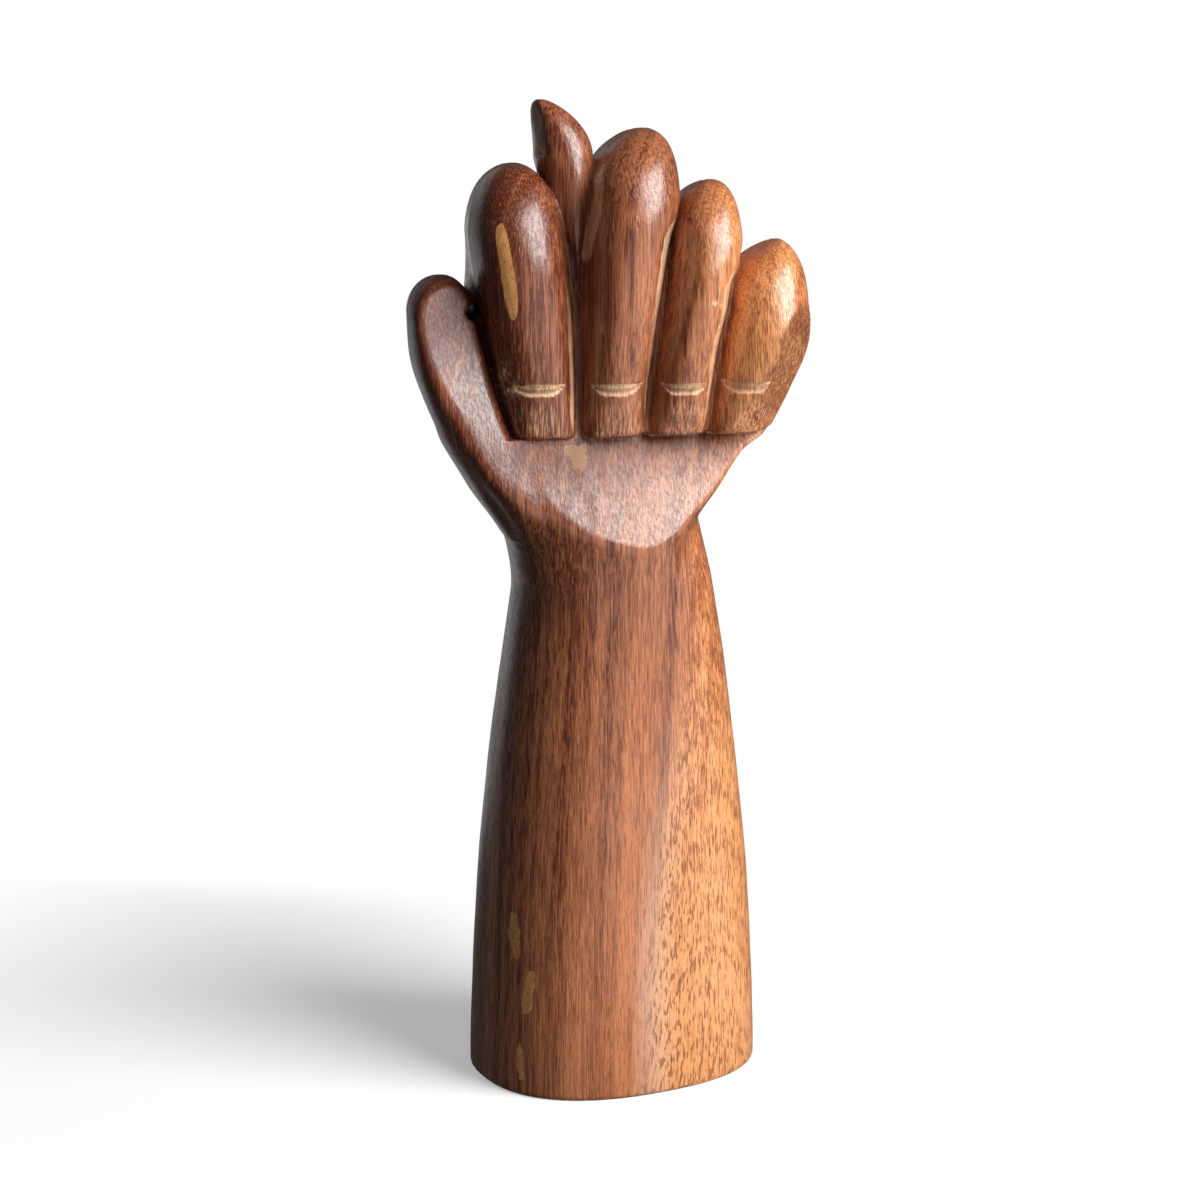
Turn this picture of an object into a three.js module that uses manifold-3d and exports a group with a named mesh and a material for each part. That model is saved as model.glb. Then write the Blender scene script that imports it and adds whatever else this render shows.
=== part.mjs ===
// Figa: a carved wooden forearm with a closed fist, the thumb pushed up between the first two fingers.
// Millimetres, +Z up, palm towards -Y, origin at the centre of the underside.
import * as THREE from 'three';
import { mergeVertices } from 'three/addons/utils/BufferGeometryUtils.js';
import Module from 'manifold-3d';

const wasm = await Module();
wasm.setup();
const { clamp, degToRad, lerp } = THREE.MathUtils;

// Gap left along every parting between two pieces.
const SEAM = 0.3;

// Forearm: a twisted oval column that tapers to the wrist and runs on inside the hand.
const BASE_WIDTH = 90;
const BASE_DEPTH = 73;
const BASE_TWIST = 19;
const BASE_BEVEL = 1.4;
const WRIST_HEIGHT = 157;
const WRIST_WIDTH = 60;
const WRIST_DEPTH = 54;
const TAPER_POWER = 1.72;
const COLUMN_SQUARE = 2.35;
const COLUMN_RISE = 35;
const COLUMN_NARROWS = 8;

// Hand: it flares from inside the wrist up to the finger line, where the fingertips meet the palm.
// Each level is a share of the hand's rise, then the steps out from the wrist's left, right, front and back.
const HAND_RISE = 45;
const FLARE_LEVELS = [
  [-0.25, -1, -8.4, -2, -2],
  [0, 0.5, -8, 0, 0],
  [0.28, 3.4, -7.4, 1.6, 1.3],
  [0.38, 5.8, -5.8, 1.9, 1.6],
  [0.62, 14, 1.6, 2.3, 2.3],
  [1, 22.5, 12.5, 2.5, 3],
];
const HAND_FRONT_SQUARE = 3.3;
const HAND_BACK_SQUARE = 2.3;

// Height of the finger line, which is also how far a cutter reaches: well past the sides of the carving.
const FINGER_LINE = WRIST_HEIGHT + HAND_RISE;
const REACH = FINGER_LINE;

// Web: the block that joins the fingers and shows at the bottom of the grooves.
// Each level is a rise above the finger line, then how far the web reaches left, right, front and back.
const WEB_LEVELS = [
  [-14, 42, 28, 20, 27],
  [6, 48, 42, 21, 29.8],
  [32, 46.5, 45, 21, 28],
  [46, 43, 42, 18, 26],
  [60, 38, 22, 14, 20],
  [72, 32, 8, 10, 11],
];

// Palm facet: a flat cut that leans back going up and faces a little to the right.
const FACET_RISE = 10.5;
const FACET_OUT = 1.5;
const FACET_CENTRE = 5.5;
const FACET_LEAN = 15;
const FACET_TURN = 6.5;
const FACET_OVER = 1.5;

// Fingers: each level is a rise above the finger line, the middle of the finger there and its half width.
// The crown is the rise and the middle of its top. Front and tip front are its depth at the knuckle and the
// nail, back and foot back the same behind.
const FINGERS_BACK = 29;
const FINGERS_FOOT_BACK = 20;
const CROWN_FRONT = 7;
const CROWN_RISE = 36;
const FINGER_DEPTH = {
  back: FINGERS_BACK,
  footBack: FINGERS_FOOT_BACK,
  crownFront: CROWN_FRONT,
  shoulder: CROWN_RISE,
};
const INDEX = {
  levels: [[0, -22.8, 10.6], [20, -25.4, 13.2], [38, -27.4, 13.9], [59, -29.8, 13.8]],
  crown: [80, -31],
  front: 32,
  tipFront: 27,
  ...FINGER_DEPTH,
};
const MIDDLE = {
  levels: [[0, -2.6, 9.8], [20, -1.4, 10.8], [48, 1.8, 12.7], [70, 5, 13.6]],
  crown: [90, 8.4],
  front: 33,
  tipFront: 27.5,
  ...FINGER_DEPTH,
};
const RING = {
  levels: [[0, 16.8, 9.4], [23, 20, 9.8], [43, 23.8, 10.6], [57, 26.6, 10.6]],
  crown: [74.6, 28.8],
  front: 31.5,
  tipFront: 26.5,
  ...FINGER_DEPTH,
};
const LITTLE = {
  levels: [[0, 36.4, 10.6], [10, 40.6, 12.8], [24, 44.4, 14.8], [38, 45.6, 12]],
  crown: [56.6, 46.4],
  front: 28.5,
  tipFront: 23.5,
  ...FINGER_DEPTH,
};

// Thumb, in the same measures: the lobe at the side, and the tip that shows between the first two fingers.
const THUMB_ROOT = {
  levels: [[-32, -29, 4], [-16, -37.4, 6.4], [0, -44, 9.4], [22, -50.8, 10.4], [36, -52.6, 9.6]],
  crown: [47.5, -52.4],
  front: 25,
  tipFront: 21,
  back: 14,
  footBack: 14,
  crownFront: CROWN_FRONT,
  shoulder: 20,
};
const THUMB_TIP = {
  levels: [[46, -12.2, 1.6], [60, -12.6, 5], [76, -14, 8.6], [90, -18.2, 6.4]],
  crown: [98.4, -21.6],
  front: 16,
  tipFront: 20,
  back: 11,
  footBack: 11,
  crownFront: 3.5,
  shoulder: 34,
};

// How fingers and thumb are rounded: the lower end, the fall of the crown, the swell of the depth, the noses.
const TIP_ROUND = 1.5;
const CROWN_POWER = 2.4;
const SWELL_POWER = 3;
const NOSE_ROUND = 1.9;
const NOSE_LEAST = 2;
const NOSE_MOST = 7;

// Where the pieces part: below the wrist's narrowest place, behind the fingers and across their knuckles.
// The thumb tip starts a fork gap above the place where the index and middle fingers divide.
const WRIST_PARTING_DROP = 7;
const BACK_PARTING = 11;
const KNUCKLE_RISE = 40;
const FORK_GAP = 1.2;

// Nail steps across the fingertips.
const NAIL_RISE = 15.8;
const NAIL_BAND = 2.2;
const NAIL_DEPTH = 1.3;
const NAIL_SHARE = 0.8;

// Small hole drilled between the thumb and the index finger.
const HOLE_RADIUS = 2.2;
const HOLE_X = -44.2;
const HOLE_RISE = 37.6;
const HOLE_END = -2;

// Filler repairs: the length, width and lean of each slot, and how deep the filler sits.
// On the forearm a slot is placed by its height and its distance in from the left edge. On the finger and the
// palm it is placed by its rise from the finger line and its distance aside from the middle.
const FILL_DEPTH = 2.2;
const INDEX_FILL = { length: 28, width: 6.2, lean: 4, rise: 50.5, aside: -5.5 };
const PALM_FILL = { length: 8.4, width: 5.6, lean: -12, rise: -5.4, aside: -15 };
const FOREARM_FILL_UPPER = { length: 15, width: 3.2, lean: 2, height: 52, edge: 8.4 };
const FOREARM_FILL_MIDDLE = { length: 14, width: 3.8, lean: 5, height: 34, edge: 12.4 };
const FOREARM_FILL_LOWER = { length: 11.5, width: 3, lean: -2, height: 11.6, edge: 12 };

// How finely the round forms are cut.
const COLUMN_SIDES = 44;
const COLUMN_RINGS = 10;
const FLARE_RINGS = 12;
const WEB_RINGS = 8;
const DIGIT_SIDES = 24;
const DIGIT_RINGS = 6;
const DOME_RINGS = 5;
const DOME_FLAT = 0.4;
const PARTING_STEPS = 6;
const PARTING_OVER = 8;
const ARC_STEPS = 6;

const WOOD = new THREE.MeshStandardMaterial({ color: 0x6b3a20, roughness: 0.42, metalness: 0 });
const FILLER = new THREE.MeshStandardMaterial({ color: 0xa87436, roughness: 0.7, metalness: 0 });

// Turns a closed three.js geometry into a solid.
function solid(geometry) {
  const bare = geometry.clone();
  bare.deleteAttribute('normal');
  bare.deleteAttribute('uv');
  const merged = mergeVertices(bare, 1e-4);
  return new wasm.Manifold(new wasm.Mesh({
    numProp: 3,
    vertProperties: new Float32Array(merged.attributes.position.array),
    triVerts: new Uint32Array(merged.index.array),
  }));
}

// Equal steps from low to high, both ends included.
function steps(low, high, count) {
  return Array.from({ length: count + 1 }, (unused, i) => lerp(low, high, i / count));
}

// Smooth value at a height through rising knots [height, value], without overshoot.
function through(knots, z) {
  const last = knots.length - 1;
  if (z <= knots[0][0]) return knots[0][1];
  if (z >= knots[last][0]) return knots[last][1];
  const grades = knots.slice(1).map(([height, value], i) => (value - knots[i][1]) / (height - knots[i][0]));
  const slopes = knots.map((unused, i) => {
    const before = grades[Math.max(i - 1, 0)];
    const after = grades[Math.min(i, last - 1)];
    return before * after > 0 ? (2 * before * after) / (before + after) : 0;
  });
  const i = knots.findIndex((unused, n) => z < knots[n + 1][0]);
  const span = knots[i + 1][0] - knots[i][0];
  const t = (z - knots[i][0]) / span;
  const bend = span * t * (1 - t) * (slopes[i] * (1 - t) - slopes[i + 1] * t);
  return lerp(knots[i][1], knots[i + 1][1], t * t * (3 - 2 * t)) + bend;
}

// Level ring of an oval with the given edges, turned about its own middle.
// A power of 2 makes an ellipse and a higher one is squarer; each half has its own pair, [across, along].
function ring(edges, z, sides, powers, turn) {
  const halfWidth = (edges.right - edges.left) / 2;
  const halfDepth = (edges.back - edges.front) / 2;
  const middle = new THREE.Vector2(edges.left + halfWidth, edges.front + halfDepth);
  return Array.from({ length: sides }, (unused, k) => {
    const c = Math.cos((2 * Math.PI * k) / sides);
    const s = Math.sin((2 * Math.PI * k) / sides);
    const [across, along] = s < 0 ? powers.front : powers.back;
    const point = new THREE.Vector2(
      middle.x + halfWidth * Math.sign(c) * Math.abs(c) ** (2 / across),
      middle.y + halfDepth * Math.sign(s) * Math.abs(s) ** (2 / along),
    );
    point.rotateAround(middle, turn);
    return new THREE.Vector3(point.x, point.y, z);
  });
}

// Closed skin over level rings that all have the same number of points.
function skin(rings) {
  const sides = rings[0].length;
  const points = rings.flat();
  const rim = points.length - sides;
  const middle = (loop) => loop.reduce((sum, p) => sum.add(p), new THREE.Vector3()).divideScalar(sides);
  const bottom = points.push(middle(rings[0])) - 1;
  const top = points.push(middle(rings[rings.length - 1])) - 1;
  const faces = [];
  for (let k = 0; k < sides; k += 1) {
    const next = (k + 1) % sides;
    faces.push(bottom, next, k, top, rim + k, rim + next);
    for (let low = 0; low < rim; low += sides) {
      const high = low + sides;
      faces.push(low + k, low + next, high + next, low + k, high + next, high + k);
    }
  }
  const geometry = new THREE.BufferGeometry().setFromPoints(points);
  geometry.setIndex(faces);
  return solid(geometry);
}

// Straight bar along Y with the given outline in X and Z.
function barAlongY(outline, from, to) {
  const depth = to - from;
  const bar = new THREE.ExtrudeGeometry(outline, { depth, bevelEnabled: false, curveSegments: ARC_STEPS });
  bar.rotateX(Math.PI / 2);
  bar.translate(0, to, 0);
  return solid(bar);
}

// Straight bar along X with the given outline in Y and Z.
function barAlongX(outline, from, to) {
  const bar = new THREE.ExtrudeGeometry(outline, { depth: to - from, bevelEnabled: false });
  bar.rotateX(Math.PI / 2);
  bar.rotateZ(Math.PI / 2);
  bar.translate(from, 0, 0);
  return solid(bar);
}

// Outline through points given as pairs.
function outlineOf(pairs) {
  return new THREE.Shape(pairs.map(([a, b]) => new THREE.Vector2(a, b)));
}

// Share of the way from the wrist's size to the foot's at a height of the forearm.
function foreTaper(z) {
  return 1 - clamp(z / WRIST_HEIGHT, 0, 1) ** TAPER_POWER;
}

// Half width of the forearm at a height.
function foreHalfWidth(z) {
  return lerp(WRIST_WIDTH, BASE_WIDTH, foreTaper(z)) / 2;
}

// The forearm column, drawn in by an inset for the floor of the filler pockets.
function forearmColumn(inset) {
  const heights = [0, ...steps(BASE_BEVEL, WRIST_HEIGHT, COLUMN_RINGS), WRIST_HEIGHT + COLUMN_RISE];
  const powers = { front: [COLUMN_SQUARE, COLUMN_SQUARE], back: [COLUMN_SQUARE, COLUMN_SQUARE] };
  return skin(heights.map((z) => {
    const narrow = (COLUMN_NARROWS * Math.max(z - WRIST_HEIGHT, 0)) / COLUMN_RISE;
    const trim = inset + narrow + (z === 0 ? BASE_BEVEL : 0);
    const halfWidth = foreHalfWidth(z) - trim;
    const halfDepth = lerp(WRIST_DEPTH, BASE_DEPTH, foreTaper(z)) / 2 - trim;
    const edges = { left: -halfWidth, right: halfWidth, front: -halfDepth, back: halfDepth };
    return ring(edges, z, COLUMN_SIDES, powers, degToRad(BASE_TWIST * foreTaper(z)));
  }));
}

// A block of the hand through levels [height, left, right, front, back].
function handBlock(levels, count) {
  const reach = (side, z) => through(levels.map((level) => [level[0], level[side]]), z);
  const powers = {
    front: [HAND_FRONT_SQUARE, HAND_FRONT_SQUARE],
    back: [HAND_BACK_SQUARE, HAND_BACK_SQUARE],
  };
  return skin(steps(levels[0][0], levels[levels.length - 1][0], count).map((z) => {
    const edges = { left: -reach(1, z), right: reach(2, z), front: -reach(3, z), back: reach(4, z) };
    return ring(edges, z, COLUMN_SIDES, powers, 0);
  }));
}

// Edges of a finger or thumb piece at a rise above the finger line; above its crown it is a point.
function digitEdges(digit, rise) {
  const { levels, crown: [top, topMiddle] } = digit;
  const foot = levels[0][0];
  const belly = levels[levels.length - 1][0];
  const shoulder = top - digit.shoulder;
  const dome = clamp((rise - belly) / (top - belly), 0, 1) ** 2;
  const depth = Math.sqrt(1 - clamp((rise - shoulder) / digit.shoulder, 0, 1) ** CROWN_POWER);
  const swell = 1 - (1 - clamp((rise - foot) / (shoulder - foot), 0, 1)) ** SWELL_POWER;
  const middle = lerp(through(levels.map(([z, x]) => [z, x]), rise), topMiddle, dome);
  const half = through(levels.map(([z, , width]) => [z, width]), rise) * Math.sqrt(1 - dome);
  return {
    left: middle - half,
    right: middle + half,
    front: -lerp(digit.crownFront, lerp(digit.tipFront, digit.front, swell), depth),
    back: lerp(-digit.crownFront, lerp(digit.footBack, digit.back, swell), depth),
  };
}

// A finger or thumb piece, drawn in by an inset: flat sides, round noses, rounded lower end and domed top.
function digitSolid(digit, inset) {
  const foot = digit.levels[0][0];
  const belly = digit.levels[digit.levels.length - 1][0];
  const top = digit.crown[0];
  const angles = steps(0, Math.PI / 2, DOME_RINGS).slice(1, -1);
  const dome = angles.map((angle) => lerp(belly, top, Math.sin(angle)));
  const rises = [foot, ...steps(foot + TIP_ROUND, belly, DIGIT_RINGS), ...dome, top - DOME_FLAT];
  return skin(rises.map((rise) => {
    const edges = digitEdges(digit, rise);
    const halfWidth = (edges.right - edges.left) / 2;
    const halfDepth = (edges.back - edges.front) / 2;
    const trim = Math.min(inset + (rise === foot ? TIP_ROUND : 0), halfWidth / 2);
    const nose = [2, clamp((NOSE_ROUND * halfDepth) / halfWidth, NOSE_LEAST, NOSE_MOST)];
    const drawn = {
      left: edges.left + trim, right: edges.right - trim, front: edges.front + trim, back: edges.back - trim,
    };
    return ring(drawn, FINGER_LINE + rise, DIGIT_SIDES, { front: nose, back: nose }, 0);
  }));
}

// A block with its back on a leaning plane: it cuts the palm facet, set back for the floor of a pocket.
function facetCutter(setBack) {
  const lean = degToRad(FACET_LEAN);
  const top = (HAND_RISE - FACET_RISE + FACET_OVER) / Math.cos(lean);
  const block = new THREE.BoxGeometry(REACH, REACH, REACH);
  block.translate(0, -REACH / 2, top - REACH / 2);
  block.rotateX(-lean);
  block.rotateZ(degToRad(FACET_TURN));
  block.translate(FACET_CENTRE, setBack - WRIST_DEPTH / 2 - FACET_OUT, WRIST_HEIGHT + FACET_RISE);
  return solid(block);
}

// Cutter for the step of a nail: a level band round the front of a finger, as deep as the step.
function nailCutter(digit) {
  const edges = digitEdges(digit, NAIL_RISE);
  const middle = (edges.left + edges.right) / 2;
  const half = (NAIL_SHARE * (edges.right - edges.left)) / 2;
  const [low, high] = [FINGER_LINE + NAIL_RISE - NAIL_BAND, FINGER_LINE + NAIL_RISE];
  const band = outlineOf([[-REACH, low], [0, low], [0, high], [-REACH, high]]);
  return barAlongX(band, middle - half, middle + half).subtract(digitSolid(digit, NAIL_DEPTH));
}

// Rounded slot from the front, centred on a point and leaning to the side, grown all round by a margin.
function slotBar({ length, width, lean }, x, z, margin) {
  const turn = degToRad(lean);
  const end = new THREE.Vector2(0, (length - width) / 2).rotateAround(new THREE.Vector2(), turn);
  const outline = new THREE.Shape();
  outline.absarc(x + end.x, z + end.y, width / 2 + margin, turn, turn + Math.PI, false);
  outline.absarc(x - end.x, z - end.y, width / 2 + margin, turn + Math.PI, turn + 2 * Math.PI, false);
  return barAlongY(outline, -REACH, 0);
}

// The forearm, hand and web with the palm facet cut, to a depth below its finished face.
const flare = handBlock(FLARE_LEVELS.map(([share, left, right, front, back]) => [
  WRIST_HEIGHT + share * HAND_RISE, WRIST_WIDTH / 2 + left, WRIST_WIDTH / 2 + right,
  WRIST_DEPTH / 2 + front, WRIST_DEPTH / 2 + back,
]), FLARE_RINGS);
const web = handBlock(WEB_LEVELS.map(([rise, ...reaches]) => [FINGER_LINE + rise, ...reaches]), WEB_RINGS);
const uncutBlock = forearmColumn(0).add(flare).add(web);
const facetedBlock = (depth) => uncutBlock.subtract(facetCutter(depth));

// The whole carving, before it is parted.
const fingers = [INDEX, MIDDLE, RING, LITTLE];
const hole = new THREE.Shape().absarc(HOLE_X, FINGER_LINE + HOLE_RISE, HOLE_RADIUS, 0, 2 * Math.PI, false);
let whole = facetedBlock(0);
[...fingers, THUMB_ROOT, THUMB_TIP].forEach((digit) => {
  whole = whole.add(digitSolid(digit, 0));
});
fingers.forEach((finger) => {
  whole = whole.subtract(nailCutter(finger));
});
whole = whole.subtract(barAlongY(hole, -REACH, HOLE_END));

// Parting lines between neighbours run halfway between their sides, and fork where the thumb tip begins.
const fork = THUMB_TIP.levels[0][0];
const belowFork = steps(-SEAM, fork, PARTING_STEPS);
const aboveFork = steps(fork, THUMB_TIP.crown[0] + PARTING_OVER, 2 * PARTING_STEPS).slice(1);
const allRises = [...belowFork, ...aboveFork];
function partingLine(a, b, rises) {
  return rises.map((rise) => {
    const x = (digitEdges(a, rise).right + digitEdges(b, rise).left) / 2;
    return [x, FINGER_LINE + rise];
  });
}
const thumbIndex = partingLine(THUMB_ROOT, INDEX, allRises);
const indexMiddle = partingLine(INDEX, MIDDLE, belowFork);
const indexTip = partingLine(INDEX, THUMB_TIP, aboveFork);
const tipMiddle = partingLine(THUMB_TIP, MIDDLE, aboveFork);
const middleRing = partingLine(MIDDLE, RING, allRises);
const ringLittle = partingLine(RING, LITTLE, allRises);
const outside = (x) => allRises.map((rise) => [x, FINGER_LINE + rise]);
const [forkX, forkZ] = indexMiddle[indexMiddle.length - 1];
const forkFoot = (side) => [forkX + side * SEAM, forkZ + FORK_GAP];

// Bar between two parting lines, drawn in by half a seam on each side.
function betweenLines(leftLine, rightLine) {
  const left = leftLine.map(([x, z]) => [x + SEAM / 2, z]);
  const right = rightLine.map(([x, z]) => [x - SEAM / 2, z]);
  return barAlongY(outlineOf([...right, ...left.reverse()]), -REACH, REACH);
}

// The forearm below the wrist, the hand above it, and the fist in front of and above the hand.
const wristParting = WRIST_HEIGHT - WRIST_PARTING_DROP;
const knuckleParting = FINGER_LINE + KNUCKLE_RISE;
const forearmRegion = outlineOf([
  [-REACH, -REACH], [REACH, -REACH], [REACH, wristParting - SEAM / 2], [-REACH, wristParting - SEAM / 2],
]);
const handRegion = outlineOf([
  [-REACH, wristParting + SEAM / 2], [REACH, wristParting + SEAM / 2],
  [REACH, knuckleParting - SEAM], [BACK_PARTING + SEAM, knuckleParting - SEAM],
  [BACK_PARTING + SEAM, FINGER_LINE - SEAM], [-REACH, FINGER_LINE - SEAM],
]);
const fistRegion = outlineOf([
  [-REACH, FINGER_LINE], [BACK_PARTING, FINGER_LINE], [BACK_PARTING, knuckleParting],
  [REACH, knuckleParting], [REACH, knuckleParting + REACH], [-REACH, knuckleParting + REACH],
]);
const inRegion = (outline) => whole.intersect(barAlongX(outline, -REACH, REACH));
const fist = inRegion(fistRegion);
const pieces = {
  forearm: inRegion(forearmRegion),
  palm: inRegion(handRegion),
  thumb_root: fist.intersect(betweenLines(outside(-REACH), thumbIndex)),
  index_finger: fist.intersect(betweenLines(thumbIndex, [...indexMiddle, ...indexTip])),
  thumb_tip: fist.intersect(betweenLines([forkFoot(-1), ...indexTip], [forkFoot(1), ...tipMiddle])),
  middle_finger: fist.intersect(betweenLines([...indexMiddle, ...tipMiddle], middleRing)),
  ring_finger: fist.intersect(betweenLines(middleRing, ringLittle)),
  little_finger: fist.intersect(betweenLines(ringLittle, outside(REACH))),
};

// Cuts a slot into its host and fills it; the floor of the slot is the host's own form, drawn in.
function repair(name, host, slot, x, z, core) {
  const filler = slotBar(slot, x, z, 0).subtract(core(FILL_DEPTH));
  const pocket = slotBar(slot, x, z, SEAM).subtract(core(FILL_DEPTH + SEAM));
  pieces[name] = pieces[host].intersect(filler);
  pieces[host] = pieces[host].subtract(pocket);
}

const { left: fillLeft, right: fillRight } = digitEdges(INDEX, INDEX_FILL.rise);
repair('index_finger_fill', 'index_finger', INDEX_FILL, (fillLeft + fillRight) / 2 + INDEX_FILL.aside,
  FINGER_LINE + INDEX_FILL.rise, (depth) => digitSolid(INDEX, depth));
repair('palm_fill', 'palm', PALM_FILL, PALM_FILL.aside, FINGER_LINE + PALM_FILL.rise, facetedBlock);
const forearmFills = {
  forearm_fill_upper: FOREARM_FILL_UPPER,
  forearm_fill_middle: FOREARM_FILL_MIDDLE,
  forearm_fill_lower: FOREARM_FILL_LOWER,
};
Object.entries(forearmFills).forEach(([name, slot]) => {
  repair(name, 'forearm', slot, slot.edge - foreHalfWidth(slot.height), slot.height, forearmColumn);
});

// One named mesh for each piece.
const figa = new THREE.Group();
figa.name = 'figa';
Object.entries(pieces).forEach(([name, piece]) => {
  const made = piece.getMesh();
  const geometry = new THREE.BufferGeometry();
  geometry.setAttribute('position', new THREE.BufferAttribute(new Float32Array(made.vertProperties), 3));
  geometry.setIndex(new THREE.BufferAttribute(new Uint32Array(made.triVerts), 1));
  geometry.computeVertexNormals();
  const mesh = new THREE.Mesh(geometry, name.includes('fill') ? FILLER : WOOD);
  mesh.name = name;
  figa.add(mesh);
});

export default figa;
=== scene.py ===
"""Looks of the carved figa: wood, filler repairs, floor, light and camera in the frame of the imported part."""
import logging
import math
from dataclasses import dataclass, field
from enum import Enum
from typing import Any, Protocol, Union

import bmesh
import bpy
import numpy as np
import openvdb
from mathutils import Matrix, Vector


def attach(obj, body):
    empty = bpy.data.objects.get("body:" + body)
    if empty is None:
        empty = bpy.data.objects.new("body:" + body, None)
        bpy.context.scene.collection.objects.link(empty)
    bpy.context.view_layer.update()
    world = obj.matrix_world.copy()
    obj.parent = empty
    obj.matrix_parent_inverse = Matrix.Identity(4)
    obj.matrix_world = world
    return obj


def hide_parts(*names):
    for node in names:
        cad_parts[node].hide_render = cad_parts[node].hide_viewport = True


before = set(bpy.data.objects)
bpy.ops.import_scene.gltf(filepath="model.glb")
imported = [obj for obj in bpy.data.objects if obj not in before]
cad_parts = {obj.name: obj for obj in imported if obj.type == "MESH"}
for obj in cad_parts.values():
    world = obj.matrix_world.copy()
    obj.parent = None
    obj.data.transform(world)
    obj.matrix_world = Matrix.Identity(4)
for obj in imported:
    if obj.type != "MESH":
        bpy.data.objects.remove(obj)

LOG = logging.getLogger("figa")
Array = np.ndarray
Soft = Union[float, Array]
Pair = tuple[float, float]
Pairs = tuple[Pair, ...]
Triple = tuple[float, float, float]
Box = tuple[Triple, Triple]
Places = tuple[Array, Array, Array]
Window = tuple[slice, slice, slice]
Colour = tuple[float, float, float, float]

# Forms are set out in millimetres, and meshes are in metres.
MM = 0.001
# Reach of the bars that part the block, past every side of it.
REACH = 200.0
# Distance that counts as outside every form.
FAR = 60.0
# Depth in front of all the wood.
FRONT = -40.0
# Height at which the fingertips meet the palm.
FINGER_LINE = 202.0
WHITE: Colour = (1.0, 1.0, 1.0, 1.0)


class Slot(Enum):
    """Material slots of the record."""

    WOOD = "wood"
    FILLER = "filler"


class Mark(Enum):
    """Vertex attributes that the finishes read."""

    # Share of wood around each point; the wood finish paints shade in hollows from it.
    HOLLOW = "hollow"
    # Raw wood: scratched nails, a sliver by the thumb tip, and groove sides painted lighter where they face the
    # light.
    RAW = "raw"
    TORN = "torn"
    SMEAR = "smear"
    # Painted shade under the fingertips, behind the thumb, in groove floors and on the palm filler, and a
    # darker outer facet on the little finger.
    SHADE = "deep"


class Axis(Enum):
    """Direction that a bar is drawn along."""

    X = 0
    Y = 1


class Keep(Enum):
    """What stays of a block that a bar cuts."""

    INSIDE = "INTERSECT"
    OUTSIDE = "DIFFERENCE"


def mix(a: Any, b: Any, share: Any) -> Any:
    """Value a share of the way from a to b."""
    return a + (b - a) * share


def ease(t: Array) -> Array:
    """Smooth step of a share from 0 to 1."""
    return t * t * (3.0 - 2.0 * t)


def ramp(low: float, high: float, x: Array) -> Array:
    """Smooth step from 0 at low to 1 at high."""
    return ease(np.clip((x - low) / (high - low), 0.0, 1.0))


def blend_min(a: Array, b: Array, soft: Soft) -> Array:
    """Smaller of two distances, with the crease between them rounded."""
    h = np.clip(0.5 + 0.5 * (b - a) / soft, 0.0, 1.0)
    return mix(b, a, h) - soft * h * (1.0 - h)


def blend_max(a: Array, b: Array, soft: Soft) -> Array:
    """Larger of two distances, with the edge between them rounded."""
    return -blend_min(-a, -b, soft)


def through(knots: Any, z: Array) -> Array:
    """Smooth values through rising knots, without overshoot.

    Args:
        knots: Pairs of height and value.
        z: Heights to read.

    Returns:
        The value at each height, held level past both ends.
    """
    heights, values = np.asarray(knots, dtype=float).T
    grades = np.diff(values) / np.diff(heights)
    before = np.concatenate([grades[:1], grades])
    after = np.concatenate([grades, grades[-1:]])
    same = before * after > 0.0
    slopes = np.where(same, 2.0 * before * after / np.where(same, before + after, 1.0), 0.0)
    i = np.clip(np.searchsorted(heights, z, side="right") - 1, 0, len(grades) - 1)
    span = heights[i + 1] - heights[i]
    t = np.clip((z - heights[i]) / span, 0.0, 1.0)
    bend = span * t * (1.0 - t) * (slopes[i] * (1.0 - t) - slopes[i + 1] * t)
    return mix(values[i], values[i + 1], ease(t)) + bend


def oval(u: Array, v: Array, a: Array, b: Array, across: Any, along: Any) -> Array:
    """Distance to an oval of half width a and half depth b.

    Args:
        u: Distance from the middle across, as a share of a.
        v: Distance from the middle along, as a share of b.
        a: Half width.
        b: Half depth.
        across: Power of u; 2 is an ellipse and more is squarer.
        along: Power of v.

    Returns:
        Approximate distance, negative inside.
    """
    least_total, least_slope = 1e-9, 1e-6
    power = np.maximum(across, along)
    total = np.maximum(u**across + v**along, least_total)
    slope_u = across * u ** (across - 1.0) / a
    slope_v = along * v ** (along - 1.0) / b
    size = total ** (1.0 / power)
    slope = size / (power * total) * np.sqrt(slope_u * slope_u + slope_v * slope_v)
    return np.maximum((size - 1.0) / np.maximum(slope, least_slope), -np.minimum(a, b))


def between(table: Array, low: Array, t: Array) -> Array:
    """Values between the eight corners of lattice cells.

    Args:
        table: Values on a lattice, which repeats past its ends.
        low: Indices of each cell's lowest corner.
        t: Share of the way across each cell along each axis.

    Returns:
        One value for each row.
    """
    total = np.zeros(len(low))
    for corner in np.ndindex(2, 2, 2):
        index = (low + corner) % table.shape
        weight = np.where(np.array(corner) == 1, t, 1.0 - t).prod(axis=1)
        total += weight * table[tuple(index.T)]
    return total


def facing(lean: float, turn: float) -> Triple:
    """Direction of a facet that leans up and turns from the front to the right, both in degrees."""
    up, side = math.radians(lean), math.radians(turn)
    return math.cos(up) * math.sin(side), -math.cos(up) * math.cos(side), math.sin(up)


class Noise:
    """Smooth random values from a fixed seed."""

    SIZE = 32

    def __init__(self, seed: int) -> None:
        """Fills the lattice from a seed."""
        self.table = np.random.default_rng(seed).uniform(-1.0, 1.0, (self.SIZE,) * 3)

    def at(self, points: Array, cell: Triple) -> Array:
        """Values between -1 and 1.

        Args:
            points: Rows of x, y, z in millimetres.
            cell: Size of a lattice cell along each axis.

        Returns:
            One value for each row.
        """
        place = points / np.asarray(cell)
        low = np.floor(place).astype(int)
        return between(self.table, low, ease(place - low))


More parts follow.
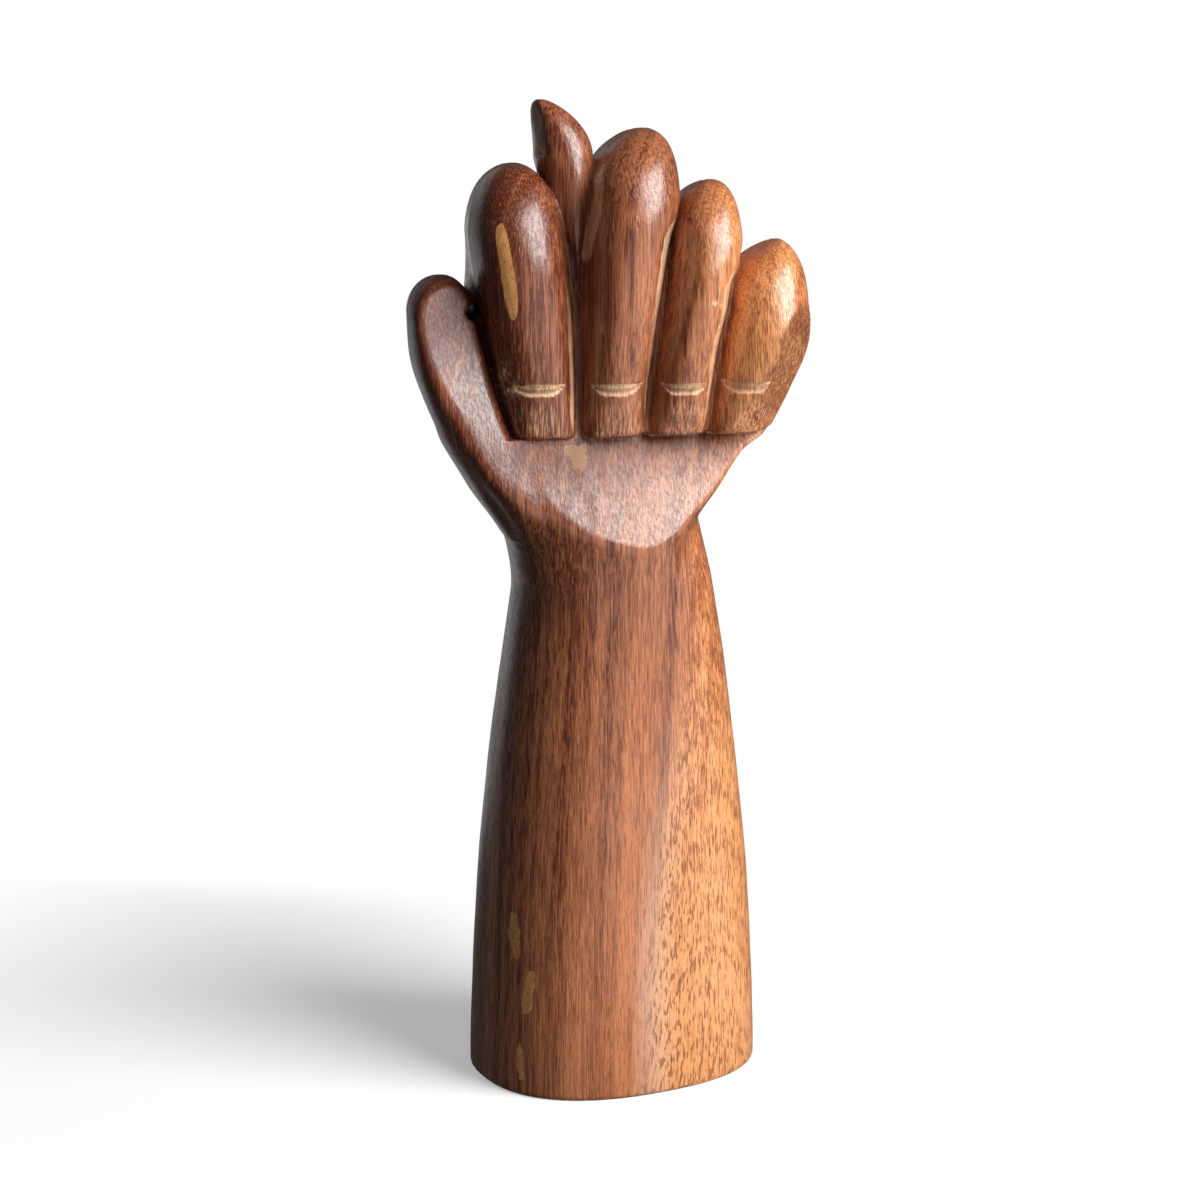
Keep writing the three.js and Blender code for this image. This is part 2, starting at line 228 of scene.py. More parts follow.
class Shape(Protocol):
    """Solid form that a volume can take in."""

    def box(self) -> Box:
        """Corners of a box around the form."""

    def distance(self, at: Places) -> Array:
        """Distance to its surface, negative inside."""


@dataclass
class Volume:
    """Distances on a regular grid in millimetres, negative inside.

    Args:
        low: Lowest corner.
        high: Highest corner.
        voxel: Spacing of the grid.
    """

    low: Triple
    high: Triple
    voxel: float
    values: Array = field(init=False)

    # Voxels kept on each side of the surface.
    BAND = 3.0
    # Spacing on which the share of solid around a point is measured.
    COARSE = 1.0
    # Reach of two passes of blur, as a multiple of the half width of one.
    BLUR_REACH = 1.5

    def __post_init__(self) -> None:
        """Makes the empty grid."""
        size = np.ceil((np.array(self.high) - self.low) / self.voxel).astype(int) + 1
        self.values = np.full(size, FAR, dtype=np.float32)

    def empty(self) -> "Volume":
        """Empty volume on the same grid."""
        return Volume(self.low, self.high, self.voxel)

    def window(self, low: Triple, high: Triple) -> Window:
        """Part of the grid that covers a box.

        Args:
            low: Lowest corner of the box.
            high: Highest corner of the box.

        Returns:
            A slice along each axis.
        """
        first = np.floor((np.array(low) - self.low) / self.voxel).astype(int)
        last = np.ceil((np.array(high) - self.low) / self.voxel).astype(int) + 1
        ends = zip(np.maximum(first, 0), np.minimum(last, self.values.shape))
        return tuple(slice(int(a), int(max(a, b))) for a, b in ends)

    def axes(self, window: Window) -> Places:
        """Coordinates of a window, ready to broadcast.

        Args:
            window: Part of the grid.

        Returns:
            The places along each axis.
        """
        lines = [
            start + self.voxel * np.arange(span.start, span.stop, dtype=np.float32)
            for start, span in zip(self.low, window)
        ]
        return tuple(np.meshgrid(*lines, indexing="ij", sparse=True))

    def add(self, shape: Shape, soft: Soft) -> None:
        """Joins a form on, with a rounded crease."""
        window = self.window(*shape.box())
        self.values[window] = blend_min(self.values[window], shape.distance(self.axes(window)), soft)

    def cut(self, shape: Shape, soft: Soft) -> None:
        """Takes a form away, with a rounded edge."""
        window = self.window(*shape.box())
        self.values[window] = blend_max(self.values[window], -shape.distance(self.axes(window)), soft)

    def skin(self) -> tuple[Array, Array]:
        """Closed surface of the solid.

        Returns:
            Points in millimetres, and quads.
        """
        band = self.BAND * self.voxel
        closed = np.full(np.array(self.values.shape) + 2, band, dtype=np.float32)
        closed[1:-1, 1:-1, 1:-1] = np.clip(self.values, -band, band)
        grid = openvdb.FloatGrid(band)
        grid.copyFromArray(closed)
        points, quads = grid.convertToQuads(isovalue=0.0)
        return np.array(self.low) + (points - 1.0) * self.voxel, quads

    def hollow(self, points: Array, reach: float) -> Array:
        """How much wood lies around each point: above a half in a hollow, below on an edge.

        Args:
            points: Rows of x, y, z in millimetres.
            reach: Half size of the neighbourhood.

        Returns:
            Share of solid around each point.
        """
        every = max(int(round(self.COARSE / self.voxel)), 1)
        solid = np.clip(0.5 - self.values[::every, ::every, ::every], 0.0, 1.0).astype(float)
        step = self.voxel * every
        half = max(int(round(reach / step / self.BLUR_REACH)), 1)
        width = 2 * half + 1
        for axis in (0, 1, 2) * 2:
            start = np.repeat(solid.take([0], axis), half + 1, axis)
            end = np.repeat(solid.take([-1], axis), half, axis)
            total = np.cumsum(np.concatenate([start, solid, end], axis), axis)
            count = solid.shape[axis]
            solid = (total.take(range(width, width + count), axis) - total.take(range(count), axis)) / width
        just_inside = 1.001
        place = np.clip((points - self.low) / step, 0.0, np.array(solid.shape) - just_inside)
        low = place.astype(int)
        return between(solid, low, place - low)


@dataclass(frozen=True)
class Forearm:
    """Twisted oval column that tapers to the wrist and runs on inside the hand."""

    base_width: float = 90.0
    base_depth: float = 73.0
    base_twist: float = 19.0
    wrist_height: float = 157.0
    wrist_width: float = 60.0
    wrist_depth: float = 54.0
    taper: float = 1.72
    square: float = 2.35
    rise: float = 35.0
    narrows: float = 8.0
    foot_round: float = 1.2
    side_pad: float = 6.0
    end_pad: float = 4.0

    def box(self) -> Box:
        """Corners of a box around the column."""
        half = self.base_width / 2 + self.side_pad
        return (-half, -half, -self.end_pad), (half, half, self.wrist_height + self.rise + self.end_pad)

    def distance(self, at: Places) -> Array:
        """Distance to the column.

        Args:
            at: Places in millimetres.

        Returns:
            Distances, negative inside.
        """
        x, y, z = at
        share = 1.0 - np.clip(z / self.wrist_height, 0.0, 1.0) ** self.taper
        narrow = self.narrows * np.clip((z - self.wrist_height) / self.rise, 0.0, 1.0)
        a = mix(self.wrist_width, self.base_width, share) / 2 - narrow
        b = mix(self.wrist_depth, self.base_depth, share) / 2 - narrow
        turn = math.radians(self.base_twist) * share
        u = np.abs(x * np.cos(turn) + y * np.sin(turn)) / a
        v = np.abs(y * np.cos(turn) - x * np.sin(turn)) / b
        side = oval(u, v, a, b, self.square, self.square)
        return blend_max(side, np.maximum(-z, z - self.wrist_height - self.rise), self.foot_round)


@dataclass(frozen=True)
class HandBlock:
    """Block of the hand through levels of height, left, right, front and back."""

    levels: tuple[tuple[float, ...], ...]
    front_square: float = 2.8
    back_square: float = 2.3
    turn_over: Pair = (-0.2, 0.2)
    pad: float = 4.0

    def box(self) -> Box:
        """Corners of a box around the block.

        Returns:
            Its lowest and highest corner.
        """
        table = np.array(self.levels)
        _, left, right, front, back = table.max(axis=0) + self.pad
        return (-left, -front, table[0, 0] - self.pad), (right, back, table[-1, 0] + self.pad)

    def distance(self, at: Places) -> Array:
        """Distance to the block.

        Args:
            at: Places in millimetres.

        Returns:
            Distances, negative inside.
        """
        x, y, z = at
        table = np.array(self.levels)
        left, right, front, back = (through(table[:, [0, i]], z) for i in range(1, 5))
        a = (left + right) / 2
        b = (front + back) / 2
        u = np.abs(x - (right - left) / 2) / a
        v = (y - (back - front) / 2) / b
        power = mix(self.front_square, self.back_square, ramp(*self.turn_over, v))
        side = oval(u, np.abs(v), a, b, power, power)
        return np.maximum(side, np.maximum(table[0, 0] - z, z - table[-1, 0]))


@dataclass(frozen=True)
class Digit:
    """Finger or thumb piece: flat sides with round noses, a rounded lower end and a domed top.

    Args:
        levels: Rise above the finger line, middle and half width at each level.
        crown: Rise and middle of the top.
        front: Depth to the front at the knuckle.
        tip_front: Depth to the front at the lower end.
        back: Depth to the back at the knuckle.
        foot_back: Depth to the back at the lower end.
        crown_front: Depth of the highest point.
        shoulder: Height over which the top falls away.
        line: Height of the finger line.
        tip_round: Rounding of the lower end.
        crown_power: Power of the fall towards the top.
        swell_power: Power of the swell from the lower end to the knuckle.
        nose: How square the front is.
        peak: Power of the narrowing towards the top.
        turn: Degrees that the front is turned to the right.
        right_square: Power of the right side; 2 is an ellipse.
        foot_square: Power added at the lower end.
    """

    levels: tuple[Triple, ...]
    crown: Pair
    front: float
    tip_front: float
    back: float = 29.0
    foot_back: float = 20.0
    crown_front: float = 7.0
    shoulder: float = 36.0
    line: float = FINGER_LINE
    tip_round: float = 1.6
    crown_power: float = 2.4
    swell_power: float = 2.0
    nose: float = 1.9
    nose_limits: Pair = (2.4, 7.0)
    peak: float = 0.5
    turn: float = 7.0
    turn_depth: float = -15.0
    left_square: float = 2.0
    right_square: float = 2.3
    foot_square: float = 1.5
    foot_rise: float = 16.0
    least_half: float = 0.3
    top_trim: float = 0.15
    pad: float = 3.0

    def edges(self, z: Array) -> tuple[Array, Array, Array, Array]:
        """Outline at heights.

        Args:
            z: Heights to read.

        Returns:
            Left, right, front and back.
        """
        rise = np.asarray(z, dtype=float) - self.line
        table = np.array(self.levels)
        foot, belly = table[0, 0], table[-1, 0]
        top, top_middle = self.crown
        shoulder = top - self.shoulder
        dome = np.clip((rise - belly) / (top - belly), 0.0, 1.0) ** 2
        fall = np.clip((rise - shoulder) / self.shoulder, 0.0, 1.0) ** self.crown_power
        depth = np.sqrt(1.0 - fall)
        swell = 1.0 - (1.0 - np.clip((rise - foot) / (shoulder - foot), 0.0, 1.0)) ** self.swell_power
        middle = mix(through(table[:, :2], rise), top_middle, dome)
        half = through(table[:, [0, 2]], rise) * (1.0 - dome) ** self.peak
        front = -mix(self.crown_front, mix(self.tip_front, self.front, swell), depth)
        back = mix(-self.crown_front, mix(self.foot_back, self.back, swell), depth)
        return middle - half, middle + half, front, back

    def box(self) -> Box:
        """Corners of a box around the piece.

        Returns:
            Its lowest and highest corner.
        """
        table = np.array(self.levels)
        left = min((table[:, 1] - table[:, 2]).min(), self.crown[1]) - self.pad
        right = max((table[:, 1] + table[:, 2]).max(), self.crown[1]) + self.pad
        low = self.line + table[0, 0] - self.pad
        high = self.line + self.crown[0] + self.pad
        front = max(self.front, self.tip_front) + self.pad
        return (left, -front, low), (right, self.back + self.pad, high)

    def distance(self, at: Places) -> Array:
        """Distance to the piece.

        Args:
            at: Places in millimetres.

        Returns:
            Distances, negative inside.
        """
        x, y, z = at
        foot = self.line + self.levels[0][0]
        top = self.line + self.crown[0] - self.top_trim
        level = np.clip(z, foot, top)
        left, right, front, back = self.edges(level)
        a = np.maximum((right - left) / 2, self.least_half)
        b = np.maximum((back - front) / 2, self.least_half)
        off = x - (left + right) / 2
        u = np.abs(off) / a
        lean = math.tan(math.radians(self.turn)) * off * ramp(0.0, self.turn_depth, y)
        v = np.abs(y - lean - (front + back) / 2) / b
        across = np.where(off > 0.0, self.right_square, self.left_square)
        across = across + self.foot_square * ramp(self.foot_rise, 0.0, level - foot)
        drop_left = self.tip_round - np.clip(level - foot, 0.0, self.tip_round)
        trim = self.tip_round - np.sqrt(np.maximum(self.tip_round**2 - drop_left**2, 0.0))
        side = oval(u, v, a, b, across, np.clip(self.nose * b / a, *self.nose_limits)) + trim
        ends = np.maximum(foot - z, z - top)
        outside = np.sqrt(np.maximum(side, 0.0) ** 2 + np.maximum(ends, 0.0) ** 2)
        return np.minimum(np.maximum(side, ends), 0.0) + outside


@dataclass(frozen=True)
class Plane:
    """Half space in front of a flat cut, limited to a box.

    Args:
        point: A point of the cut.
        normal: Direction that the cut faces.
        limits: Corners of the box that it reaches.
    """

    point: Triple
    normal: Triple
    limits: Box

    def box(self) -> Box:
        """Corners of the box that the cut reaches."""
        return self.limits

    def distance(self, at: Places) -> Array:
        """Distance to the cut, positive behind it and negative in front of it."""
        normal = np.array(self.normal) / np.linalg.norm(self.normal)
        return -sum((place - start) * way for place, start, way in zip(at, self.point, normal))


@dataclass(frozen=True)
class PalmFacets:
    """Palm facet and thumb facet that meet in a soft valley.

    The thumb facet bends back above the finger line, where the cover, a finger, hides both.
    """

    palm: Plane
    lower: Plane
    upper: Plane
    cover: Digit
    bow: float = 0.0014
    soft: float = 9.0
    cover_rise: float = 1.0
    cover_inset: float = 5.0
    thumb_edge: float = 2.2
    finger_edge: float = 1.0
    edge_span: Pair = (-42.0, -6.0)

    def box(self) -> Box:
        """Corners of the box that the cuts reach."""
        return self.palm.box()

    def distance(self, at: Places) -> Array:
        """Distance to the wood that is cut away.

        Args:
            at: Places in millimetres.

        Returns:
            Distances, negative inside.
        """
        x, y, z = at
        thumb = blend_min(self.lower.distance(at), self.upper.distance(at), self.soft)
        bowed = self.palm.distance((x, y - 0.5 * self.bow * (x - self.palm.point[0]) ** 2, z))
        both = blend_max(bowed, thumb, self.soft)
        above = z > self.cover.line + self.cover_rise
        covered = above & (x > self.cover.edges(z)[0] + self.cover_inset)
        return np.where(covered, FAR, both)

    def edge(self, x: Array) -> Array:
        """Rounding of the facets' edge: wide along the thumb and crisp under the little finger."""
        return mix(self.thumb_edge, self.finger_edge, ramp(*self.edge_span, x))


@dataclass(frozen=True)
class Groove:
    """Channel that parts two fingers.

    Args:
        left: Finger at its left.
        right: Finger at its right.
        widths: Width of its floor at each rise above the finger line.
        floors: Depth to the front of its floor at each rise.
        bite: How far it cuts into the left finger.
        steep: Slope of the wall on the left finger.
        slopes: Slope of the wall on the right finger at each rise.
    """

    left: Digit
    right: Digit
    widths: Pairs
    floors: Pairs
    bite: float = 0.6
    steep: float = 0.28
    slopes: Pairs = ((0, 0.2), (14, 0.32), (36, 0.45))
    wall: float = 16.0
    left_pad: float = 5.0
    right_pad: float = 14.0
    top_pad: float = 4.0
    samples: int = 9

    def start(self, z: Array) -> Array:
        """Foot of the wall on the left finger at heights."""
        return (self.left.edges(z)[1] + self.right.edges(z)[0]) / 2 - self.bite

    def box(self) -> Box:
        """Corners of a box around the channel.

        Returns:
            Its lowest and highest corner.
        """
        line = self.left.line
        heights = np.linspace(line, line + self.widths[-1][0], self.samples)
        x = self.start(heights)
        low = (x.min() - self.left_pad, FRONT, line - self.left_pad)
        return low, (x.max() + self.right_pad, 0.0, heights[-1] + self.top_pad)

    def distance(self, at: Places) -> Array:
        """Distance to the channel.

        Args:
            at: Places in millimetres.

        Returns:
            Distances, negative inside.
        """
        x, y, z = at
        rise = z - self.left.line
        behind = y + through(self.floors, rise)
        up_wall = np.clip(-behind, 0.0, self.wall)
        off = x - self.start(z)
        width = through(self.widths, rise)
        slope = through(self.slopes, rise)
        right = (off - width - slope * up_wall) / np.sqrt(1.0 + slope * slope)
        side = np.maximum(-off - self.steep * up_wall - np.minimum(width, 0.0), right)
        return np.maximum(np.maximum(side, behind), -rise)


@dataclass(frozen=True)
class NailCut:
    """Cut across a fingertip: straight above, a curved lip below and a sunk nail under it.

    Args:
        digit: Finger that it is cut into.
        middle: Middle of the cut.
        half: Half width of the cut.
        top: Height of its upper edge.
        drop: Height from the lip's lowest point to the upper edge.
        lip_power: How flat the lip is in the middle.
        top_fade: Steps from the upper edge over which the cut starts.
        nail_fade: Steps from the finger line and from the upper edge over which the nail sinks.
    """

    digit: Digit
    middle: float
    half: float
    top: float
    drop: float = 3.0
    depth: float = 0.5
    lip_depth: float = 0.7
    nail: float = 0.3
    lip_power: float = 4.0
    side_fade: Pair = (1.05, 0.9)
    top_fade: Pair = (0.25, -0.2)
    nail_fade: Pair = (-2.0, -4.0)
    least_rise: float = 0.2
    least_depth: float = 0.02
    side_reach: float = 1.5
    side_pad: float = 3.0
    top_pad: float = 2.0
    foot_pad: float = 1.0
    back: float = -12.0

    def box(self) -> Box:
        """Corners of a box around the cut.

        Returns:
            Its lowest and highest corner.
        """
        side = self.half + self.side_pad
        low = (self.middle - side, FRONT, self.digit.line - self.foot_pad)
        return low, (self.middle + side, self.back, self.top + self.top_pad)

    def across(self, x: Array) -> Array:
        """Distance from the middle as a share of the half width."""
        return np.clip(np.abs(x - self.middle) / self.half, 0.0, self.side_reach)

    def lip(self, across: Array) -> Array:
        """Height of the lip."""
        return self.top - self.drop * np.clip(1.0 - across**self.lip_power, 0.0, 1.0)

    def depth_at(self, x: Array, z: Array) -> Array:
        """How deep the wood is cut away below the finger's own surface.

        Args:
            x: Places across.
            z: Heights.

        Returns:
            Depths, 0 where nothing is cut.
        """
        across = self.across(x)
        lip = self.lip(across)
        share = np.clip((z - lip) / np.maximum(self.top - lip, self.least_rise), 0.0, 1.0)
        side = ramp(*self.side_fade, across)
        cut = mix(self.lip_depth, self.depth, share) * side * (share > 0.0)
        foot, head = self.nail_fade
        nail = self.nail * side * ramp(self.digit.line + foot, self.top + head, z)
        over, under = self.top_fade
        return np.maximum(cut, nail) * ramp(self.top + over, self.top + under, z)

    def distance(self, at: Places) -> Array:
        """Distance to the wood that is cut away, negative inside."""
        depth = self.depth_at(at[0], at[2])
        return np.where(depth > self.least_depth, -(self.digit.distance(at) + depth), FAR)


@dataclass(frozen=True)
class Hole:
    """Round hole drilled from the front."""

    x: float = -43.6
    z: float = 239.0
    radius: float = 2.3
    end: float = -2.0
    pad: float = 2.0

    def box(self) -> Box:
        """Corners of a box around the hole."""
        side = self.radius + self.pad
        return (self.x - side, FRONT, self.z - side), (self.x + side, self.end + self.pad, self.z + side)

    def distance(self, at: Places) -> Array:
        """Distance to the hole, negative inside."""
        x, y, z = at
        return np.maximum(np.sqrt((x - self.x) ** 2 + (z - self.z) ** 2) - self.radius, y - self.end)


FOREARM = Forearm()

INDEX = Digit(
    levels=((0, -22.8, 10.6), (20, -25.4, 13.2), (38, -27.4, 13.9), (59, -29.8, 13.8)),
    crown=(80, -31), front=31.5, tip_front=26.6)
MIDDLE = Digit(
    levels=((0, -2.6, 9.8), (20, -1.4, 10.8), (48, 1.8, 12.7), (70, 5, 13.6)),
    crown=(90, 8.4), front=32.5, tip_front=25.2)
RING = Digit(
    levels=((0, 16.8, 9.4), (23, 20, 9.8), (43, 23.8, 10.6), (57, 26.6, 10.6)),
    crown=(74.6, 28.8), front=30.5, tip_front=23.6)
LITTLE = Digit(
    levels=((0, 37, 11.2), (10, 41.2, 13.6), (24, 45.2, 15.8), (38, 45.8, 12.2)),
    crown=(56.6, 49.6), front=28, tip_front=21.4, tip_round=0.8, peak=0.72)
THUMB_ROOT = Digit(
    levels=((-32, -29, 4), (-16, -37.4, 6.4), (0, -44, 9.4), (22, -50.8, 10.4), (36, -52.6, 9.6)),
    crown=(47.5, -52.4), front=29, tip_front=20, back=14, foot_back=14, shoulder=20, turn=0, right_square=2,
    foot_square=0)
THUMB_TIP = Digit(
    levels=((46, -12.2, 0.5), (56, -12.5, 2.8), (66, -12.9, 6.2), (74, -13.6, 8.2), (81, -15, 8.6)),
    crown=(98.4, -22), front=16, tip_front=15, back=11, foot_back=11, crown_front=3.5, shoulder=34, turn=0,
    right_square=2, foot_square=0)
FINGERS = {"index_finger": INDEX, "middle_finger": MIDDLE, "ring_finger": RING, "little_finger": LITTLE}

# Flare of the hand: share of the rise from wrist to finger line, and steps out from the wrist's sides.
FLARE = HandBlock(tuple(
    (mix(FOREARM.wrist_height, FINGER_LINE, share),
     FOREARM.wrist_width / 2 + left, FOREARM.wrist_width / 2 + right,
     FOREARM.wrist_depth / 2 + front, FOREARM.wrist_depth / 2 + back)
    for share, left, right, front, back in (
        (-0.25, -3, -12, -0.8, -2), (0, 0.5, -8, 0.8, 0), (0.28, 3.4, -7.4, 3.3, 1.3),
        (0.38, 5.8, -5.8, 4.3, 1.6), (0.62, 14, 1.6, 4.8, 2.3), (0.85, 19.6, 8.4, 5, 2.8),
        (1, 22.5, 16.8, 4.5, 3), (1.03, 22, 16.4, -13, 2.9), (1.4, 15, 7, -15, -2))))
# Back of the hand and wood behind the grooves, from the finger line up.
WEB = HandBlock(tuple(
    (FINGER_LINE + rise, *sides) for rise, *sides in (
        (-14, 42, 28, 20, 28.4), (0, 47, 38, 21, 30), (6, 48, 42, 22, 30.1), (32, 46.5, 45, 21, 28),
        (46, 43, 42, 17, 26), (60, 38, 22, 13, 20), (72, 32, 8, 7, 11))))
# Ball of the thumb.
THENAR = HandBlock((
    (166, 29, -20, 20, 10), (180, 37, -19, 30, 10), (190, 44, -24, 31.4, 10), (202, 51, -32, 30, 10),
    (220, 57, -38, 27, 10), (242, 57, -44, 21, 8)))

FACET_BOX: Box = ((-70.0, -45.0, FOREARM.wrist_height - 12.0), (70.0, 0.0, 256.0))
THUMB_CORNER: Triple = (-34.0, -23.6, FINGER_LINE)
PALM_FACETS = PalmFacets(
    palm=Plane((5.5, -29.8, FOREARM.wrist_height + 10.5), facing(19.0, 12.5), FACET_BOX),
    lower=Plane(THUMB_CORNER, (0.41, -1.0, 0.12), FACET_BOX),
    upper=Plane(THUMB_CORNER, (0.41, -1.0, 0.3), FACET_BOX),
    cover=INDEX)
OUTER_FACET = Plane((52.4, -9.7, 218.0), (0.83, -0.455, -0.325), ((30.0, -45.0, 190.0), (70.0, 30.0, 256.0)))
NAIL_FACET = Plane((-20.9, -11.5, 292.0), (-0.92, -0.38, 0.0), ((-40.0, FRONT, 284.4), (0.0, 30.0, 304.0)))

GROOVES = (
    Groove(INDEX, MIDDLE, ((0, 1.8), (20, 2.6), (40, 2.4), (52, 1.6), (60, -1), (68, -7)),
           ((0, 22.5), (9, 19.8), (32, 18.4), (50, 16), (60, 13), (68, 8)), bite=1.6),
    Groove(MIDDLE, RING, ((0, 1), (20, 1.6), (40, 1.2), (58, -0.4), (72, -6)),
           ((0, 21.5), (9, 19.5), (32, 19), (50, 16), (72, 8))),
    Groove(RING, LITTLE, ((0, 1), (20, 1.4), (34, 1), (48, -0.6), (56, -5)),
           ((0, 20), (9, 18), (32, 17), (56, 9))),
)
NAILS = (
    NailCut(INDEX, -25.3, 7.5, 218.6), NailCut(MIDDLE, -2.4, 7.5, 218.3),
    NailCut(RING, 18.1, 6.8, 218.0), NailCut(LITTLE, 37.0, 6.9, 218.0),
)


def mesh_of(name: str, points: Array, faces: Any) -> bpy.types.Mesh:
    """Mesh from millimetre points.

    Args:
        name: Name of the mesh.
        points: Rows of x, y, z in millimetres.
        faces: Vertex indices of each face.

    Returns:
        The mesh, in metres and shaded smooth.
    """
    sizes = np.array([len(face) for face in faces])
    corners = np.concatenate([np.asarray(face) for face in faces])
    starts = np.concatenate([[0], np.cumsum(sizes)[:-1]])
    mesh = bpy.data.meshes.new(name)
    mesh.vertices.add(len(points))
    set_points(mesh, np.asarray(points))
    mesh.loops.add(len(corners))
    mesh.loops.foreach_set("vertex_index", corners.astype(np.int32))
    mesh.polygons.add(len(sizes))
    mesh.polygons.foreach_set("loop_start", starts.astype(np.int32))
    mesh.update(calc_edges=True)
    mesh.shade_smooth()
    return mesh


def set_points(mesh: bpy.types.Mesh, points: Array) -> None:
    """Moves the vertices of a mesh to millimetre points."""
    mesh.vertices.foreach_set("co", (points * MM).astype(np.float32).ravel())


def rows_of(mesh: bpy.types.Mesh, name: str) -> Array:
    """Three numbers of each vertex of a mesh, such as co or normal.

    Args:
        mesh: Mesh to read.
        name: Name of the vertex property.

    Returns:
        One row for each vertex.
    """
    rows = np.empty(3 * len(mesh.vertices), dtype=np.float32)
    mesh.vertices.foreach_get(name, rows)
    return rows.reshape(-1, 3).astype(float)


def numbers_of(items: Any, name: str) -> Array:
    """Whole number of each face or loop of a mesh.

    Args:
        items: Faces or loops.
        name: Name of the property.

    Returns:
        One number for each item.
    """
    numbers = np.empty(len(items), dtype=np.int32)
    items.foreach_get(name, numbers)
    return numbers


def paint(mesh: bpy.types.Mesh, mark: Mark, values: Array) -> None:
    """Stores a mark on the vertices of a mesh."""
    layer = mesh.attributes.new(mark.value, "FLOAT", "POINT")
    layer.data.foreach_set("value", values.astype(np.float32))


def place(mesh: bpy.types.Mesh) -> bpy.types.Object:
    """Object at the origin that shows a mesh.

    Args:
        mesh: Mesh to show.

    Returns:
        The object.
    """
    made = bpy.data.objects.new(mesh.name, mesh)
    bpy.context.scene.collection.objects.link(made)
    return made


def drop(*helpers: bpy.types.Object) -> None:
    """Removes helper objects."""
    for helper in helpers:
        bpy.data.objects.remove(helper, do_unlink=True)


def two_slots(mesh: bpy.types.Mesh) -> None:
    """Gives a mesh two empty material slots, for skin and for cut faces."""
    mesh.materials.append(None)
    mesh.materials.append(None)


def prism(name: str, outline: Any, axis: Axis, low: float, high: float) -> bpy.types.Object:
    """Straight bar with a given outline.

    Args:
        name: Name of the bar.
        outline: Pairs of the outline: x and z for a bar along Y, y and z for one along X.
        axis: Direction of the bar.
        low: Where it starts.
        high: Where it ends.

    Returns:
        The closed bar, with the second material slot on its faces to mark what it cuts.
    """
    pairs = np.asarray(outline, dtype=float)
    count = len(pairs)
    ends = [np.insert(pairs, axis.value, level, axis=1) for level in (low, high)]
    ring = np.arange(count)
    after = (ring + 1) % count
    sides = np.stack([ring, after, after + count, ring + count], axis=1)
    mesh = mesh_of(name, np.concatenate(ends), [ring, ring + count, *sides])
    shaper = bmesh.new()
    shaper.from_mesh(mesh)
    bmesh.ops.recalc_face_normals(shaper, faces=shaper.faces)
    shaper.to_mesh(mesh)
    shaper.free()
    two_slots(mesh)
    mesh.polygons.foreach_set("material_index", np.ones(len(mesh.polygons), dtype=np.int32))
    return place(mesh)


def applied(target: bpy.types.Object, modifier: bpy.types.Modifier) -> bpy.types.Mesh:
    """Plain mesh of an object with its modifier applied, which is then removed.

    Args:
        target: Object with the modifier.
        modifier: The modifier.

    Returns:
        The mesh.
    """
    graph = bpy.context.evaluated_depsgraph_get()
    mesh = bpy.data.meshes.new_from_object(target.evaluated_get(graph))
    target.modifiers.remove(modifier)
    return mesh


def carve(block: bpy.types.Object, bar: bpy.types.Object, keep: Keep, name: str) -> bpy.types.Object:
    """New object from a block and a bar that cuts it.

    Args:
        block: Object that is kept in part.
        bar: Object that cuts it.
        keep: What stays of the block.
        name: Name of the result.

    Returns:
        The result; both inputs stay as they are.
    """
    modifier = block.modifiers.new("cut", "BOOLEAN")
    modifier.operation = keep.value
    modifier.solver = "MANIFOLD"
    modifier.object = bar
    mesh = applied(block, modifier)
    mesh.name = name
    return place(mesh)


